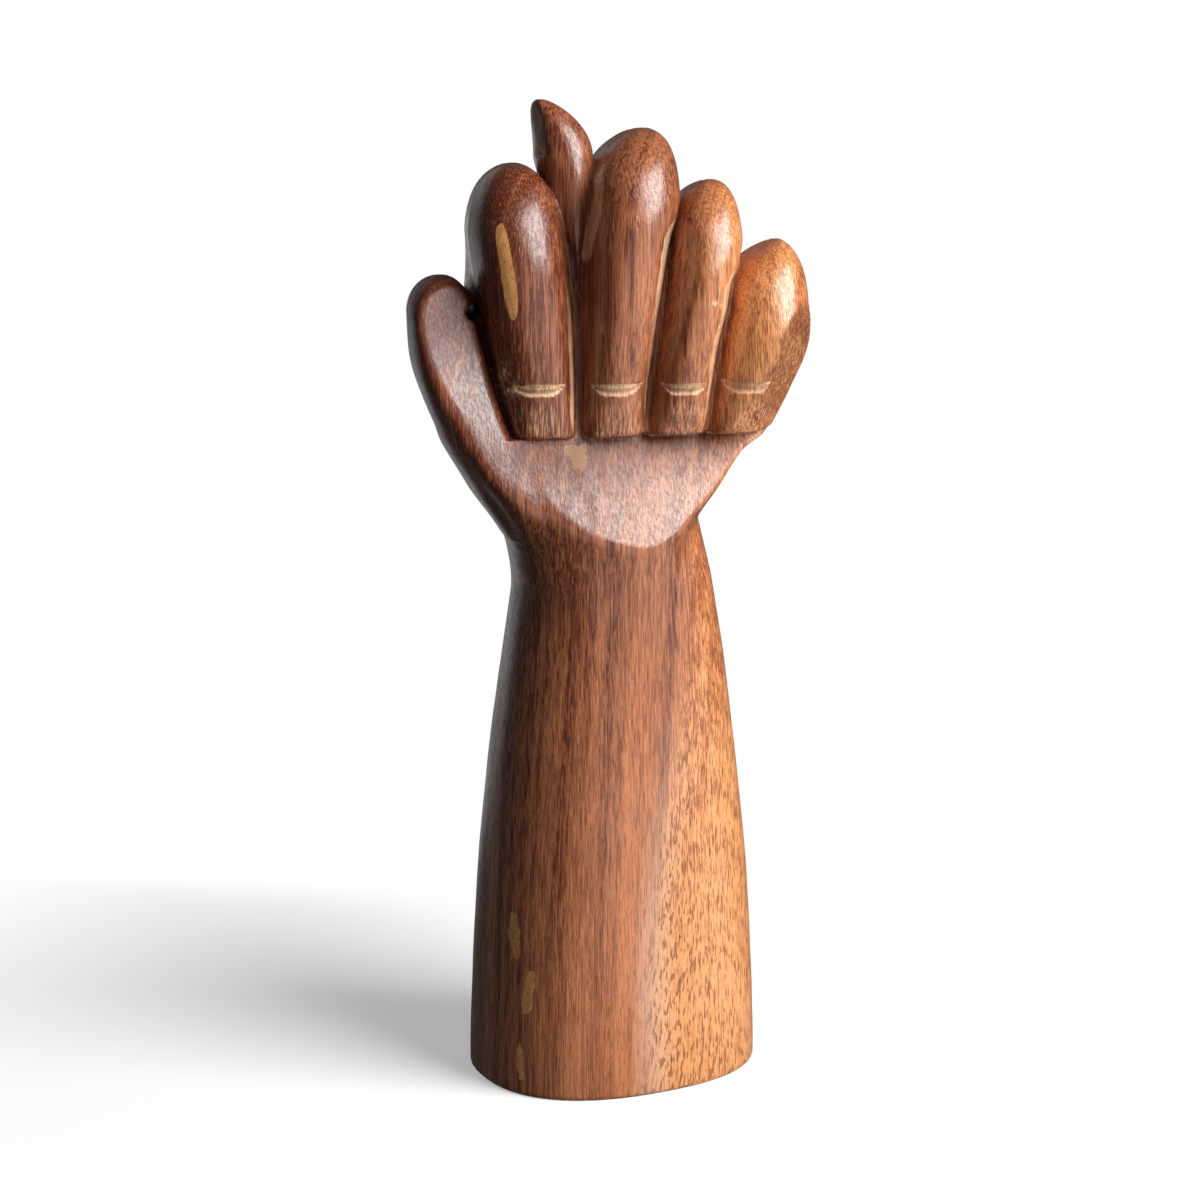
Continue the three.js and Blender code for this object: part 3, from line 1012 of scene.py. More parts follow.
@dataclass
class Carving:
    """The whole carved block, before it is parted into its pieces.

    A crease or edge is the radius, in millimetres, over which a form runs into its neighbours.
    """

    arm_voxel: float = 0.8
    arm_side: float = 52.0
    arm_low: float = -3.0
    hand_voxel: float = 0.56
    hand_side: float = 68.0
    hand_deep: float = 42.0
    hand_top: float = 304.0
    wrist_parting: float = 150.0
    overlap: float = 4.0
    back_parting: float = 11.0
    knuckle_rise: float = 40.0
    parting_low: float = -1.0
    parting_over: float = 8.0
    steps_below: int = 7
    steps_above: int = 13
    column_crease: float = 1.0
    flare_crease: float = 2.6
    web_crease: float = 0.3
    thumb_crease: float = 0.5
    thenar_crease: float = 3.0
    lobe_crease: float = 2.5
    finger_crease: Pair = (0.6, 7.0)
    finger_depths: Pair = (3.0, 14.0)
    outer_edge: float = 1.0
    groove_edge: float = 1.8
    tip_edge: float = 0.6
    nail_edge: float = 0.15
    hole_edge: float = 0.4
    dents: tuple[tuple[float, Triple], ...] = ((0.22, (13.0, 13.0, 22.0)), (0.07, (4.0, 4.0, 9.0)))
    flat_foot: Pair = (0.5, 6.0)
    seed: int = 7

    def __post_init__(self) -> None:
        """Sets out the empty volumes of the forearm and the hand, which overlap at the wrist."""
        self.noise = Noise(self.seed)
        side, deep = self.hand_side, self.hand_deep
        low, high = self.wrist_parting - self.overlap, self.wrist_parting + self.overlap
        self.hand = Volume((-side, -deep, low), (side, deep, self.hand_top), self.hand_voxel)
        side = self.arm_side
        self.arm = Volume((-side, -side, self.arm_low), (side, side, high), self.arm_voxel)

    def shape(self) -> None:
        """Fills both volumes."""
        hand = self.hand
        for volume in (self.arm, hand):
            volume.add(FOREARM, self.column_crease)
            volume.add(FLARE, self.flare_crease)
        hand.add(WEB, self.web_crease)
        lobe = hand.empty()
        lobe.add(THUMB_ROOT, self.thumb_crease)
        lobe.add(THENAR, self.thenar_crease)
        hand.values = blend_min(hand.values, lobe.values, self.lobe_crease)
        across = hand.axes(hand.window(*PALM_FACETS.box()))[0]
        hand.cut(PALM_FACETS, PALM_FACETS.edge(across))
        for finger in FINGERS.values():
            depths = hand.axes(hand.window(*finger.box()))[1]
            hand.add(finger, mix(*self.finger_crease, ramp(*self.finger_depths, depths)))
        hand.cut(OUTER_FACET, self.outer_edge)
        for groove in GROOVES:
            hand.cut(groove, self.groove_edge)
        tip = hand.empty()
        tip.add(THUMB_TIP, self.thumb_crease)
        tip.cut(NAIL_FACET, self.tip_edge)
        hand.values = blend_min(hand.values, tip.values, self.tip_edge)
        for nail in NAILS:
            hand.cut(nail, self.nail_edge)
        hand.cut(Hole(), self.hole_edge)

    def block(self, volume: Volume, name: str) -> bpy.types.Object:
        """Surface of a volume with the unevenness of hand carving.

        Args:
            volume: Volume to show.
            name: Name of the object.

        Returns:
            The closed object.
        """
        points, quads = volume.skin()
        mesh = mesh_of(name, points, quads)
        push = sum(depth * self.noise.at(points, cell) for depth, cell in self.dents)
        push *= ramp(*self.flat_foot, points[:, 2])
        set_points(mesh, points + rows_of(mesh, "normal") * push[:, None])
        mesh.update()
        two_slots(mesh)
        return place(mesh)

    def line_between(self, a: Digit, b: Digit, rises: Array) -> Array:
        """Parting line halfway between two neighbours, as pairs of x and z."""
        heights = FINGER_LINE + rises
        return np.stack([(a.edges(heights)[1] + b.edges(heights)[0]) / 2, heights], axis=1)

    def regions(self) -> dict[str, Array]:
        """Outlines in x and z of the pieces of the fist.

        Returns:
            The outline of each node.
        """
        fork = THUMB_TIP.levels[0][0]
        below = np.linspace(self.parting_low, fork, self.steps_below)
        above = np.linspace(fork, THUMB_TIP.crown[0] + self.parting_over, self.steps_above)[1:]
        full = np.concatenate([below, above])
        thumb_index = self.line_between(THUMB_ROOT, INDEX, full)
        index_middle = self.line_between(INDEX, MIDDLE, below)
        index_tip = self.line_between(INDEX, THUMB_TIP, above)
        tip_middle = self.line_between(THUMB_TIP, MIDDLE, above)
        middle_ring = self.line_between(MIDDLE, RING, full)
        ring_little = self.line_between(RING, LITTLE, full)
        left = np.stack([np.full(len(full), -REACH), FINGER_LINE + full], axis=1)
        right = left * (-1.0, 1.0)
        sides = {
            "thumb_root": (left, thumb_index),
            "index_finger": (thumb_index, np.concatenate([index_middle, index_tip])),
            "thumb_tip": (index_tip, np.concatenate([index_middle[-1:], tip_middle])),
            "middle_finger": (np.concatenate([index_middle, tip_middle]), middle_ring),
            "ring_finger": (middle_ring, ring_little),
            "little_finger": (ring_little, right),
        }
        return {name: np.concatenate([high, low[::-1]]) for name, (low, high) in sides.items()}

    def piece(self, block: bpy.types.Object, name: str, outline: Any, axis: Axis) -> bpy.types.Object:
        """What a bar with a given outline holds of a block.

        Args:
            block: Block to part.
            name: Name of the piece.
            outline: Outline of the bar.
            axis: Direction of the bar.

        Returns:
            The piece.
        """
        bar = prism(name + "_region", outline, axis, -REACH, REACH)
        made = carve(block, bar, Keep.INSIDE, name)
        drop(bar)
        return made

    def part(self) -> dict[str, bpy.types.Object]:
        """Parts the block into one object for each wooden node.

        Returns:
            The object of each node.
        """
        arm = self.block(self.arm, "arm_block")
        hand = self.block(self.hand, "hand_block")
        cut, knuckle = self.wrist_parting, FINGER_LINE + self.knuckle_rise
        low, high = -REACH, 2.0 * REACH
        step = ((self.back_parting, knuckle), (self.back_parting, FINGER_LINE))
        outlines = {
            "forearm": ((low, low), (high, low), (high, cut), (low, cut)),
            "palm": ((low, cut), (high, cut), (high, knuckle), *step, (low, FINGER_LINE)),
            "fist": ((low, FINGER_LINE), *step[::-1], (high, knuckle), (high, high), (low, high)),
        }
        made = {
            name: self.piece(arm if name == "forearm" else hand, name, outline, Axis.X)
            for name, outline in outlines.items()
        }
        fist = made.pop("fist")
        for name, outline in self.regions().items():
            made[name] = self.piece(fist, name, outline, Axis.Y)
        drop(arm, hand, fist)
        return made


@dataclass(frozen=True)
class Spot:
    """Soft oval spot with half sizes, only on wood in front of a depth."""

    x: float
    z: float
    width: float
    height: float
    before: float = 0.0

    def at(self, at: Places) -> Array:
        """How strong the spot is.

        Args:
            at: Places in millimetres.

        Returns:
            Values from 0 to 1.
        """
        x, y, z = at
        spread = ((x - self.x) / self.width) ** 2 + ((z - self.z) / self.height) ** 2
        return np.exp(-spread) * (y < self.before)


SMEARS = (
    Spot(-38.0, 18.5, 1.6, 5.0), Spot(-26.6, 177.0, 1.0, 2.0), Spot(-25.0, 168.5, 1.6, 2.6),
    Spot(-24.0, 163.0, 1.2, 3.0), Spot(-23.8, 154.0, 1.2, 4.0), Spot(-36.0, 61.0, 1.0, 4.0),
)
TEARS = (
    Spot(-33.8, 217.2, 2.4, 2.6, -12.0), Spot(-35.4, 222.0, 1.3, 3.0, -12.0),
    Spot(-22.4, 285.2, 1.0, 1.6, -3.0), Spot(26.4, 241.6, 1.9, 1.1, -20.0),
    Spot(-6.9, 234.9, 0.5, 2.0, -20.0),
)


@dataclass(frozen=True)
class Wear:
    """Where the wood is raw, torn or smeared with filler, and where painted shade and painted light fall on it.

    A pair is where a smooth step starts and ends, in millimetres or as a share.
    """

    # Groove sides: raw wood, painted lighter only where they face the light to the right. Groove floors:
    # painted shade.
    groove_reach: Pair = (1.2, 0.3)
    wall_rise: Pair = (0.2, 2.5)
    lit_wall_facing: Pair = (0.25, 0.65)
    floor_rise: Pair = (2.4, 0.6)
    floor_shade: float = 0.6
    sliver_reach: Pair = (1.7, 0.6)
    sliver_foot: Pair = (250.0, 256.0)
    sliver_top: Pair = (286.0, 276.0)
    raw_before: float = -2.0
    # Outer facet of the little finger, drawn darker.
    facet_reach: Pair = (1.6, 0.2)
    facet_side: Pair = (30.0, 40.0)
    facet_foot: Pair = (203.0, 208.0)
    facet_top: Pair = (246.0, 236.0)
    # Painted shadow of the fingertips on the palm below the finger line.
    under_drop: Pair = (22.0, 1.0)
    under_rise: float = 8.0
    under_facing: Pair = (0.1, 0.3)
    under_side: Pair = (-40.0, -30.0)
    under_shade: float = 0.9
    # Painted shadow of the index finger on the upper thumb facet.
    thumb_rise: Pair = (212.0, 238.0)
    thumb_side: Pair = (-40.0, -44.0)
    thumb_shade: float = 0.8
    dark_before: float = -4.0
    tear_low: Pair = (-0.15, 0.0)
    tear_high: Pair = (1.2, 1.05)
    tear_sides: Pair = (1.08, 0.98)
    tear_upper: Pair = (0.55, 0.85)
    tear_lip: Pair = (0.4, 0.15)
    tear_least: float = 0.25
    tear_rise: float = 0.3
    tear_before: float = -12.0
    tear_cell: Triple = (0.7, 0.7, 1.2)
    tear_noise: Pair = (-0.3, 0.3)
    plate_drop: Pair = (-2.0, -7.0)
    plate_sides: Pair = (1.3, 0.9)
    plate_foot: float = 0.6
    plate_before: float = -14.0
    plate_raw: float = 0.5
    smear_cell: Triple = (0.9, 0.9, 2.6)
    smear_noise: Pair = (-0.1, 0.4)
    hollow_reach: float = 4.0

    def grooves(self, at: Places, right: Array) -> tuple[Array, Array]:
        """Raw wood on the groove sides, painted lighter only where they face the light, and painted shade on
        the groove floors.

        Args:
            at: Places in millimetres.
            right: How far the surface faces right.

        Returns:
            How raw and lit the groove sides are, and how much painted shade lies on the floors.
        """
        x, y, z = at
        raw = shaded_floor = np.zeros(len(x))
        for groove in GROOVES:
            proud = -y - through(groove.floors, z - FINGER_LINE)
            near = ramp(*self.groove_reach, groove.distance(at))
            raw = np.maximum(raw, ramp(*self.wall_rise, proud) * near)
            shaded_floor = np.maximum(shaded_floor, ramp(*self.floor_rise, proud) * near)
        seam = (THUMB_TIP.edges(z)[1] + MIDDLE.edges(z)[0]) / 2
        sliver = ramp(*self.sliver_reach, np.abs(x - seam))
        sliver = sliver * ramp(*self.sliver_foot, z) * ramp(*self.sliver_top, z)
        # Raw groove sides stay only where they face the light: painted light.
        raw = np.maximum(raw * ramp(*self.lit_wall_facing, right), sliver) * (y < self.raw_before)
        return raw, self.floor_shade * shaded_floor

    def shade(self, at: Places, up: Array) -> Array:
        """Painted shade under the fingertips and behind the thumb, and a darker outer facet on the little
        finger.

        Args:
            at: Places in millimetres.
            up: How far the surface faces up.

        Returns:
            How much darker the wood is painted.
        """
        x, y, z = at
        facet = ramp(*self.facet_reach, np.abs(OUTER_FACET.distance(at))) * ramp(*self.facet_side, x)
        facet = facet * ramp(*self.facet_foot, z) * ramp(*self.facet_top, z)
        before = y < self.dark_before
        under = ramp(*self.under_drop, FINGER_LINE - z) * (z < FINGER_LINE + self.under_rise)
        under = under * ramp(*self.under_facing, up) * ramp(*self.under_side, x) * before
        thumb = ramp(*self.thumb_rise, z) * ramp(*self.thumb_side, x) * before
        return np.maximum(facet, np.maximum(self.under_shade * under, self.thumb_shade * thumb))

    def nails(self, at: Places) -> tuple[Array, Array]:
        """Torn wood in the nail cuts and scratched nails under them.

        Args:
            at: Places in millimetres.

        Returns:
            How torn the wood is, and how raw.
        """
        x, y, z = at
        torn = raw = np.zeros(len(x))
        for nail in NAILS:
            across = nail.across(x)
            lip = nail.lip(across)
            share = (z - lip) / np.maximum(nail.top - lip, self.tear_rise)
            inside = ramp(*self.tear_low, share) * ramp(*self.tear_high, share)
            inside = inside * ramp(*self.tear_sides, across)
            edges = np.maximum(ramp(*self.tear_upper, share), ramp(*self.tear_lip, share))
            tear = inside * mix(self.tear_least, 1.0, edges)
            torn = np.maximum(torn, np.where(y < self.tear_before, tear, 0.0))
            high, low = self.plate_drop
            plate = ramp(nail.top + high, nail.top + low, z) * ramp(*self.plate_sides, across)
            plate = plate * (z > FINGER_LINE + self.plate_foot) * (y < self.plate_before)
            raw = np.maximum(raw, self.plate_raw * plate)
        return torn, raw

    def marks(self, carving: Carving, mesh: bpy.types.Mesh, of_hand: bool) -> dict[Mark, Array]:
        """Values of the wood's attributes on a piece.

        Args:
            carving: The carved block.
            mesh: Mesh of the piece.
            of_hand: Whether the piece belongs to the hand or is the forearm.

        Returns:
            One value for each vertex and mark.
        """
        points, normals = rows_of(mesh, "co") / MM, rows_of(mesh, "normal")
        at = tuple(points.T)
        raw = torn = deep = np.zeros(len(points))
        if of_hand:
            # Raw groove sides painted lit where they face the light, and painted shade on the groove floors.
            raw_and_lit_walls, floors = self.grooves(at, normals[:, 0])
            cuts, plates = self.nails(at)
            raw = np.maximum(raw_and_lit_walls, plates)
            # Painted shade, joined with the painted shade of the groove floors.
            deep = np.maximum(self.shade(at, normals[:, 2]), floors)
            tears = np.max([tear.at(at) for tear in TEARS], axis=0)
            torn = np.maximum(cuts, tears * ramp(*self.tear_noise, carving.noise.at(points, self.tear_cell)))
        smear = np.max([spot.at(at) for spot in SMEARS], axis=0)
        smear = smear * ramp(*self.smear_noise, carving.noise.at(points, self.smear_cell))
        volume = carving.hand if of_hand else carving.arm
        # Share of wood around each point, which the wood finish turns into painted shade in hollows.
        hollow = volume.hollow(points, self.hollow_reach)
        return {Mark.HOLLOW: hollow, Mark.RAW: raw, Mark.TORN: torn, Mark.SMEAR: smear, Mark.SHADE: deep}


@dataclass(frozen=True)
class Repair:
    """Ochre filler pressed into a crack or chip.

    Args:
        node: Node of the filler.
        host: Node of the wood around it.
        outline: Pairs of x and z around the crack.
        floor: How far back the filler reaches.
        steps: Points on each side of the outline.
        ragged: How far the torn edge strays.
        seed: Seed of the torn edge.
        painted_shade: How much painted shade darkens the filler, as on the wood under the fingertips.
    """

    node: str
    host: str
    outline: Pairs
    floor: float
    steps: int = 7
    ragged: float = 0.42
    seed: int = 3
    # Painted shade on the filler, matching the painted shade of the wood around it.
    painted_shade: float = 0.0

    def ragged_outline(self) -> Array:
        """Outline with a torn edge.

        Returns:
            Pairs of x and z.
        """
        corners = np.array(self.outline)
        following = np.roll(corners, -1, axis=0)
        shares = np.linspace(0.0, 1.0, self.steps, endpoint=False)
        points = np.concatenate([mix(a, b, shares[:, None]) for a, b in zip(corners, following)])
        around = range(-2, 3)
        smooth = sum(np.roll(points, k, axis=0) for k in around) / len(around)
        shift = np.random.default_rng(self.seed).uniform(-1.0, 1.0, smooth.shape)
        return smooth + self.ragged * (shift + np.roll(shift, 1, axis=0)) / 2

    def build(self, pieces: dict[str, bpy.types.Object]) -> None:
        """Cuts the crack in its host and adds the filler that fits it.

        Args:
            pieces: Objects by node, which gain the filler.
        """
        bar = prism(self.node + "_bar", self.ragged_outline(), Axis.Y, -REACH, self.floor)
        host = pieces[self.host]
        pieces[self.node] = carve(host, bar, Keep.INSIDE, self.node)
        mesh = pieces[self.node].data
        # The filler carries its painted shade in the shade mark.
        paint(mesh, Mark.SHADE, np.full(len(mesh.vertices), self.painted_shade))
        pieces[self.host] = carve(host, bar, Keep.OUTSIDE, self.host)
        drop(host, bar)


REPAIRS = (
    Repair("index_finger_fill", "index_finger", (
        (-37.9, 265.0), (-35.7, 266.4), (-34.4, 261.4), (-33.1, 253.8), (-31.9, 246.1), (-31.8, 240.3),
        (-33.4, 237.6), (-35.1, 241.2), (-36.4, 249.8), (-37.5, 257.5)), -24.0, ragged=0.2, seed=5),
    # The palm filler lies in the painted shadow under the fingertips.
    Repair("palm_fill", "palm", (
        (-17.2, 200.2), (-10.2, 199.8), (-11.0, 197.4), (-10.9, 195.6), (-12.0, 193.2), (-13.5, 192.5),
        (-15.3, 193.7), (-15.5, 196.2), (-17.6, 198.2)), -10.0, ragged=0.7, painted_shade=0.85),
    Repair("forearm_fill_upper", "forearm", (
        (-34.6, 57.4), (-32.9, 57.0), (-32.0, 50.1), (-32.3, 44.4), (-33.6, 42.2), (-34.9, 46.3),
        (-35.2, 52.4)), -21.0),
    Repair("forearm_fill_middle", "forearm", (
        (-30.5, 39.6), (-28.4, 40.6), (-28.0, 37.6), (-29.6, 27.6), (-31.4, 25.9), (-32.3, 29.2),
        (-31.1, 34.9)), -26.0, seed=8),
    Repair("forearm_fill_lower", "forearm", (
        (-33.7, 15.8), (-32.5, 16.8), (-31.9, 13.1), (-31.2, 5.9), (-32.8, 4.9),
        (-33.6, 9.1)), -26.0, seed=9),
)

Value = Union["Socket", float, int, str, tuple]


class Socket:
    """Output of a node that takes part in sums."""

    def __init__(self, graph: "Graph", output: bpy.types.NodeSocket) -> None:
        """Wraps an output of a node in a graph."""
        self.graph = graph
        self.output = output

    def __add__(self, other: Value) -> "Socket":
        """Sum."""
        return self.graph.math("ADD", self, other)

    def __sub__(self, other: Value) -> "Socket":
        """Difference."""
        return self.graph.math("SUBTRACT", self, other)

    def __mul__(self, other: Value) -> "Socket":
        """Product."""
        return self.graph.math("MULTIPLY", self, other)

    def __truediv__(self, other: Value) -> "Socket":
        """Quotient."""
        return self.graph.math("DIVIDE", self, other)

    def __pow__(self, other: Value) -> "Socket":
        """Power."""
        return self.graph.math("POWER", self, other)

    def __radd__(self, other: Value) -> "Socket":
        """Sum with a number first."""
        return self.graph.math("ADD", other, self)

    def __rsub__(self, other: Value) -> "Socket":
        """Difference from a number."""
        return self.graph.math("SUBTRACT", other, self)

    def __rmul__(self, other: Value) -> "Socket":
        """Product with a number first."""
        return self.graph.math("MULTIPLY", other, self)


Point = tuple[Socket, Socket, Socket]


class Graph:
    """Node tree of a material, of the world or of geometry, filled in by sums."""

    def __init__(self, tree: bpy.types.NodeTree) -> None:
        """Empties a tree to fill it."""
        self.tree = tree
        tree.nodes.clear()

    def node(self, kind: str, settings: dict[str, Any], sockets: dict[str, Value]) -> bpy.types.Node:
        """Adds a node.

        Args:
            kind: Type of the node.
            settings: Properties to set on it.
            sockets: Inputs by identifier or name, as values or as outputs to link.

        Returns:
            The node.
        """
        made = self.tree.nodes.new(kind)
        for name, value in settings.items():
            setattr(made, name, value)
        for name, value in sockets.items():
            found = next((s for s in made.inputs if s.identifier == name), None) or made.inputs[name]
            if isinstance(value, Socket):
                self.tree.links.new(value.output, found)
            else:
                found.default_value = value
        return made

    def out(self, made: bpy.types.Node, name: str) -> Socket:
        """Output of a node by identifier or name."""
        found = next((s for s in made.outputs if s.identifier == name), None) or made.outputs[name]
        return Socket(self, found)

    def math(self, operation: str, a: Value, b: Value) -> Socket:
        """Sum of two values."""
        made = self.node("ShaderNodeMath", {"operation": operation}, {"Value": a, "Value_001": b})
        return self.out(made, "Value")

    def step(self, value: Value, low: float, high: float) -> Socket:
        """Smooth step from 0 at low to 1 at high."""
        made = self.node(
            "ShaderNodeMapRange", {"interpolation_type": "SMOOTHSTEP"},
            {"Value": value, "From Min": low, "From Max": high, "To Min": 0.0, "To Max": 1.0})
        return self.out(made, "Result")

    def blend(self, share: Value, a: Value, b: Value) -> Socket:
        """Colour a share of the way from a to b."""
        made = self.node(
            "ShaderNodeMix", {"data_type": "RGBA", "clamp_factor": True},
            {"Factor_Float": share, "A_Color": a, "B_Color": b})
        return self.out(made, "Result_Color")

    def mark(self, name: Mark) -> Socket:
        """Vertex attribute of the piece."""
        return self.out(self.node("ShaderNodeAttribute", {"attribute_name": name.value}, {}), "Fac")

    def place(self) -> Point:
        """Object coordinates in millimetres.

        Returns:
            The x, y and z of the place.
        """
        coordinates = self.out(self.node("ShaderNodeTexCoord", {}, {}), "Object")
        parts = self.node("ShaderNodeSeparateXYZ", {}, {"Vector": coordinates})
        return tuple(self.out(parts, axis) * (1.0 / MM) for axis in "XYZ")

    def bump(self, height: Socket, strength: float, distance: float) -> Socket:
        """Normal of a surface with fine relief."""
        sockets = {"Strength": strength, "Distance": distance, "Height": height}
        return self.out(self.node("ShaderNodeBump", {}, sockets), "Normal")

    def matt(self, tone: float) -> Socket:
        """Shader of a matt grey."""
        return self.out(self.node("ShaderNodeBsdfDiffuse", {}, {"Color": (tone, tone, tone, 1.0)}), "BSDF")

    def glow(self, strength: float) -> Socket:
        """Shader that gives off white light."""
        made = self.node("ShaderNodeEmission", {}, {"Color": WHITE, "Strength": strength})
        return self.out(made, "Emission")

    def either(self, share: Socket, a: Socket, b: Socket) -> Socket:
        """Shader a share of the way from a to b."""
        made = self.node("ShaderNodeMixShader", {}, {"Fac": share, "Shader": a, "Shader_001": b})
        return self.out(made, "Shader")

    def surface(self, sockets: dict[str, Value]) -> None:
        """Ends the tree in a Principled shader."""
        shader = self.node("ShaderNodeBsdfPrincipled", {}, sockets)
        self.node("ShaderNodeOutputMaterial", {}, {"Surface": self.out(shader, "BSDF")})


def start_material(name: str) -> tuple[bpy.types.Material, Graph]:
    """New material with an empty graph.

    Args:
        name: Name of the material.

    Returns:
        The material and its graph.
    """
    material = bpy.data.materials.new(name)
    material.use_nodes = True
    return material, Graph(material.node_tree)


def linear(red: int, green: int, blue: int) -> Colour:
    """Scene colour of a screen colour.

    Args:
        red: Red from 0 to 255.
        green: Green.
        blue: Blue.

    Returns:
        The colour with full opacity.
    """
    shares = np.array([red, green, blue]) / 255.0
    low = shares / 12.92
    high = ((shares + 0.055) / 1.055) ** 2.4
    return (*(float(v) for v in np.where(shares <= 0.04045, low, high)), 1.0)


@dataclass(frozen=True)
class Grain:
    """Noise between 0 and 1 with cells of a size, finer layers and the strength of each."""

    cell: Triple
    detail: float = 2.0
    rough: float = 0.5

    def at(self, g: Graph, x: Value, y: Value, z: Value) -> Socket:
        """Adds the noise to a graph.

        Args:
            g: Graph of the material.
            x: Place along the first axis.
            y: Place along the second axis.
            z: Place along the third axis.

        Returns:
            The noise at the place.
        """
        parts = {axis: value / size for axis, value, size in zip("XYZ", (x, y, z), self.cell)}
        where = g.out(g.node("ShaderNodeCombineXYZ", {}, parts), "Vector")
        made = g.node("ShaderNodeTexNoise", {}, {
            "Vector": where, "Scale": 1.0, "Detail": self.detail, "Roughness": self.rough})
        return g.out(made, "Fac")


@dataclass(frozen=True)
class WoodFinish:
    """Waxed reddish brown hardwood with its rings square to X, so the front is straight grained.

    Lengths are in millimetres apart from relief. A pair is where a smooth step starts and ends, and a share
    is the most that it adds or blends.
    """

    # Dark wood, also the colour of painted shade.
    dark: Colour = linear(92, 36, 16)
    brown: Colour = linear(176, 92, 48)
    tan: Colour = linear(216, 137, 92)
    orange: Colour = linear(244, 168, 106)
    vessel: Colour = linear(122, 56, 25)
    # Pale pink of the painted sheen band on the forearm.
    pale: Colour = linear(240, 200, 174)
    gold: Colour = linear(248, 206, 164)
    ochre: Colour = linear(186, 130, 72)
    drift: Grain = Grain((40.0, 40.0, 130.0), 1.0)
    bands: Grain = Grain((2.6, 300.0, 1.0), 3.0, 0.6)
    zones: Grain = Grain((9.0, 500.0, 1.0), 1.0)
    fibre: Grain = Grain((0.6, 1.0, 30.0), 4.0, 0.66)
    fine: Grain = Grain((0.38, 0.7, 6.0), 2.0, 0.6)
    mottle: Grain = Grain((1.1, 1.1, 1.5))
    arches: Grain = Grain((8.0, 1.0, 1.0), 1.0)
    pores: Grain = Grain((0.54, 0.55, 3.8))
    pith: Pair = (-150.0, 62.0)
    ring_drift: float = 7.0
    band_step: Pair = (0.3, 0.7)
    band_share: float = 0.4
    zone_step: Pair = (0.35, 0.65)
    zone_share: float = 0.3
    zone_slice: float = 3.0
    streak_step: Pair = (0.34, 0.66)
    streak_share: float = 0.56
    tone_base: float = 0.24
    # The forearm is lighter wood; the lift fades out towards the wrist as painted shade under the heel of the
    # hand.
    arm_share: float = 0.3
    wrist_shade_fade: Pair = (94.0, 168.0)
    # Painted light bounced from the floor: lighter towards the foot.
    foot_fade: Pair = (90.0, 10.0)
    foot_bounce_light: float = 0.14
    # Painted shade: wood darker towards the left side, away from the light.
    left_fade: Pair = (-6.0, -40.0)
    left_shade: float = 0.42
    border_x: float = 22.0
    border_lean: float = 14.0
    border_rise: Pair = (170.0, 30.0)
    border_drift: float = 6.0
    arm_end: Pair = (196.0, 150.0)
    side_step: Pair = (-4.0, 4.0)
    fist_step: Pair = (10.0, 38.0)
    fist_drift: float = 12.0
    verge_step: Pair = (-13.0, -4.0)
    verge_share: float = 0.08
    # Painted sheen: a pale band along the border of the orange side of the forearm, stronger near the foot.
    sheen_start: Pair = (-9.0, -1.0)
    sheen_end: Pair = (9.0, 1.0)
    sheen_rise: Pair = (140.0, 70.0)
    sheen_share: float = 0.32
    sheen_foot: Pair = (70.0, 25.0)
    sheen_foot_share: float = 0.1
    light_gain: float = 1.6
    light_base: float = 0.12
    light_fist: float = 0.1
    light_rise: Pair = (30.0, 110.0)
    light_share: float = 0.2
    flame_x: float = 27.0
    flame_z: float = 70.0
    flame_fan: float = 150.0
    arch_bend: float = 0.08
    arch_drift: float = 24.0
    arch_slice: float = 7.0
    arch_step: Pair = (0.35, 0.65)
    arch_share: float = 0.1
    fleck_rise: Pair = (50.0, 140.0)
    fleck_rise_share: float = 0.03
    fleck_step: Pair = (0.52, 0.61)
    fleck_share: float = 0.22
    fleck_side: float = 0.5
    fleck_fist: float = 0.4
    fine_light: Pair = (0.54, 0.68)
    fine_light_share: float = 0.36
    fine_dark: Pair = (0.46, 0.34)
    fine_dark_share: float = 0.4
    # Painted shade from the shade mark: its strength, how much light fibres are spared, and how much rougher it
    # makes the wood.
    shade_share: float = 0.85
    shade_streaks: float = 0.5
    # Painted shade in hollows, from the hollow mark.
    hollow_step: Pair = (0.6, 0.85)
    hollow_shade: float = 0.25
    raw_gain: float = 0.55
    raw_start: Pair = (0.0, 0.2)
    scratch_step: Pair = (0.75, 1.1)
    scratch_share: float = 0.85
    torn_share: float = 0.4
    torn_step: Pair = (0.36, 0.56)
    torn_fibres: float = 0.6
    smear_share: float = 0.6
    relief: float = 0.0003
    relief_strength: float = 0.6
    fibre_height: float = 0.5
    fine_height: float = 0.5
    mottle_height: float = 0.6
    fleck_height: float = 0.6
    roughness: float = 0.3
    fibre_rough: float = 0.24
    fleck_rough: float = 0.12
    torn_rough: float = 0.3
    shade_rough: float = 0.2
    coat: float = 0.55
    coat_roughness: float = 0.2
    glint_least: float = 0.55
    glint_share: float = 0.9
    glint_step: Pair = (0.42, 0.58)
    glint_mottle: float = 0.6
    glint_fine: float = 0.4

    def tone(self, g: Graph, at: Point, drift: Socket, streaks: Socket, arm: Socket) -> Socket:
        """How light the wood is: growth rings and fibres, a lighter forearm that fades out towards the wrist as
        painted shade, and painted light from the floor near the foot.

        Args:
            g: Graph of the material.
            at: Place in the wood.
            drift: Slow noise that bends the rings.
            streaks: Light fibres.
            arm: 1 on the forearm and 0 on the fist.

        Returns:
            0 for dark wood and 1 for light wood.
        """
        x, y, z = at
        pith_x, pith_y = self.pith
        ring = ((x - pith_x) ** 2.0 + (y - pith_y) ** 2.0) ** 0.5 + drift * self.ring_drift
        bands = g.step(self.bands.at(g, ring, z, 0.0), *self.band_step)
        zones = g.step(self.zones.at(g, ring, z, self.zone_slice), *self.zone_step)
        tone = bands * self.band_share + streaks * self.streak_share + zones * self.zone_share
        tone = tone - self.tone_base
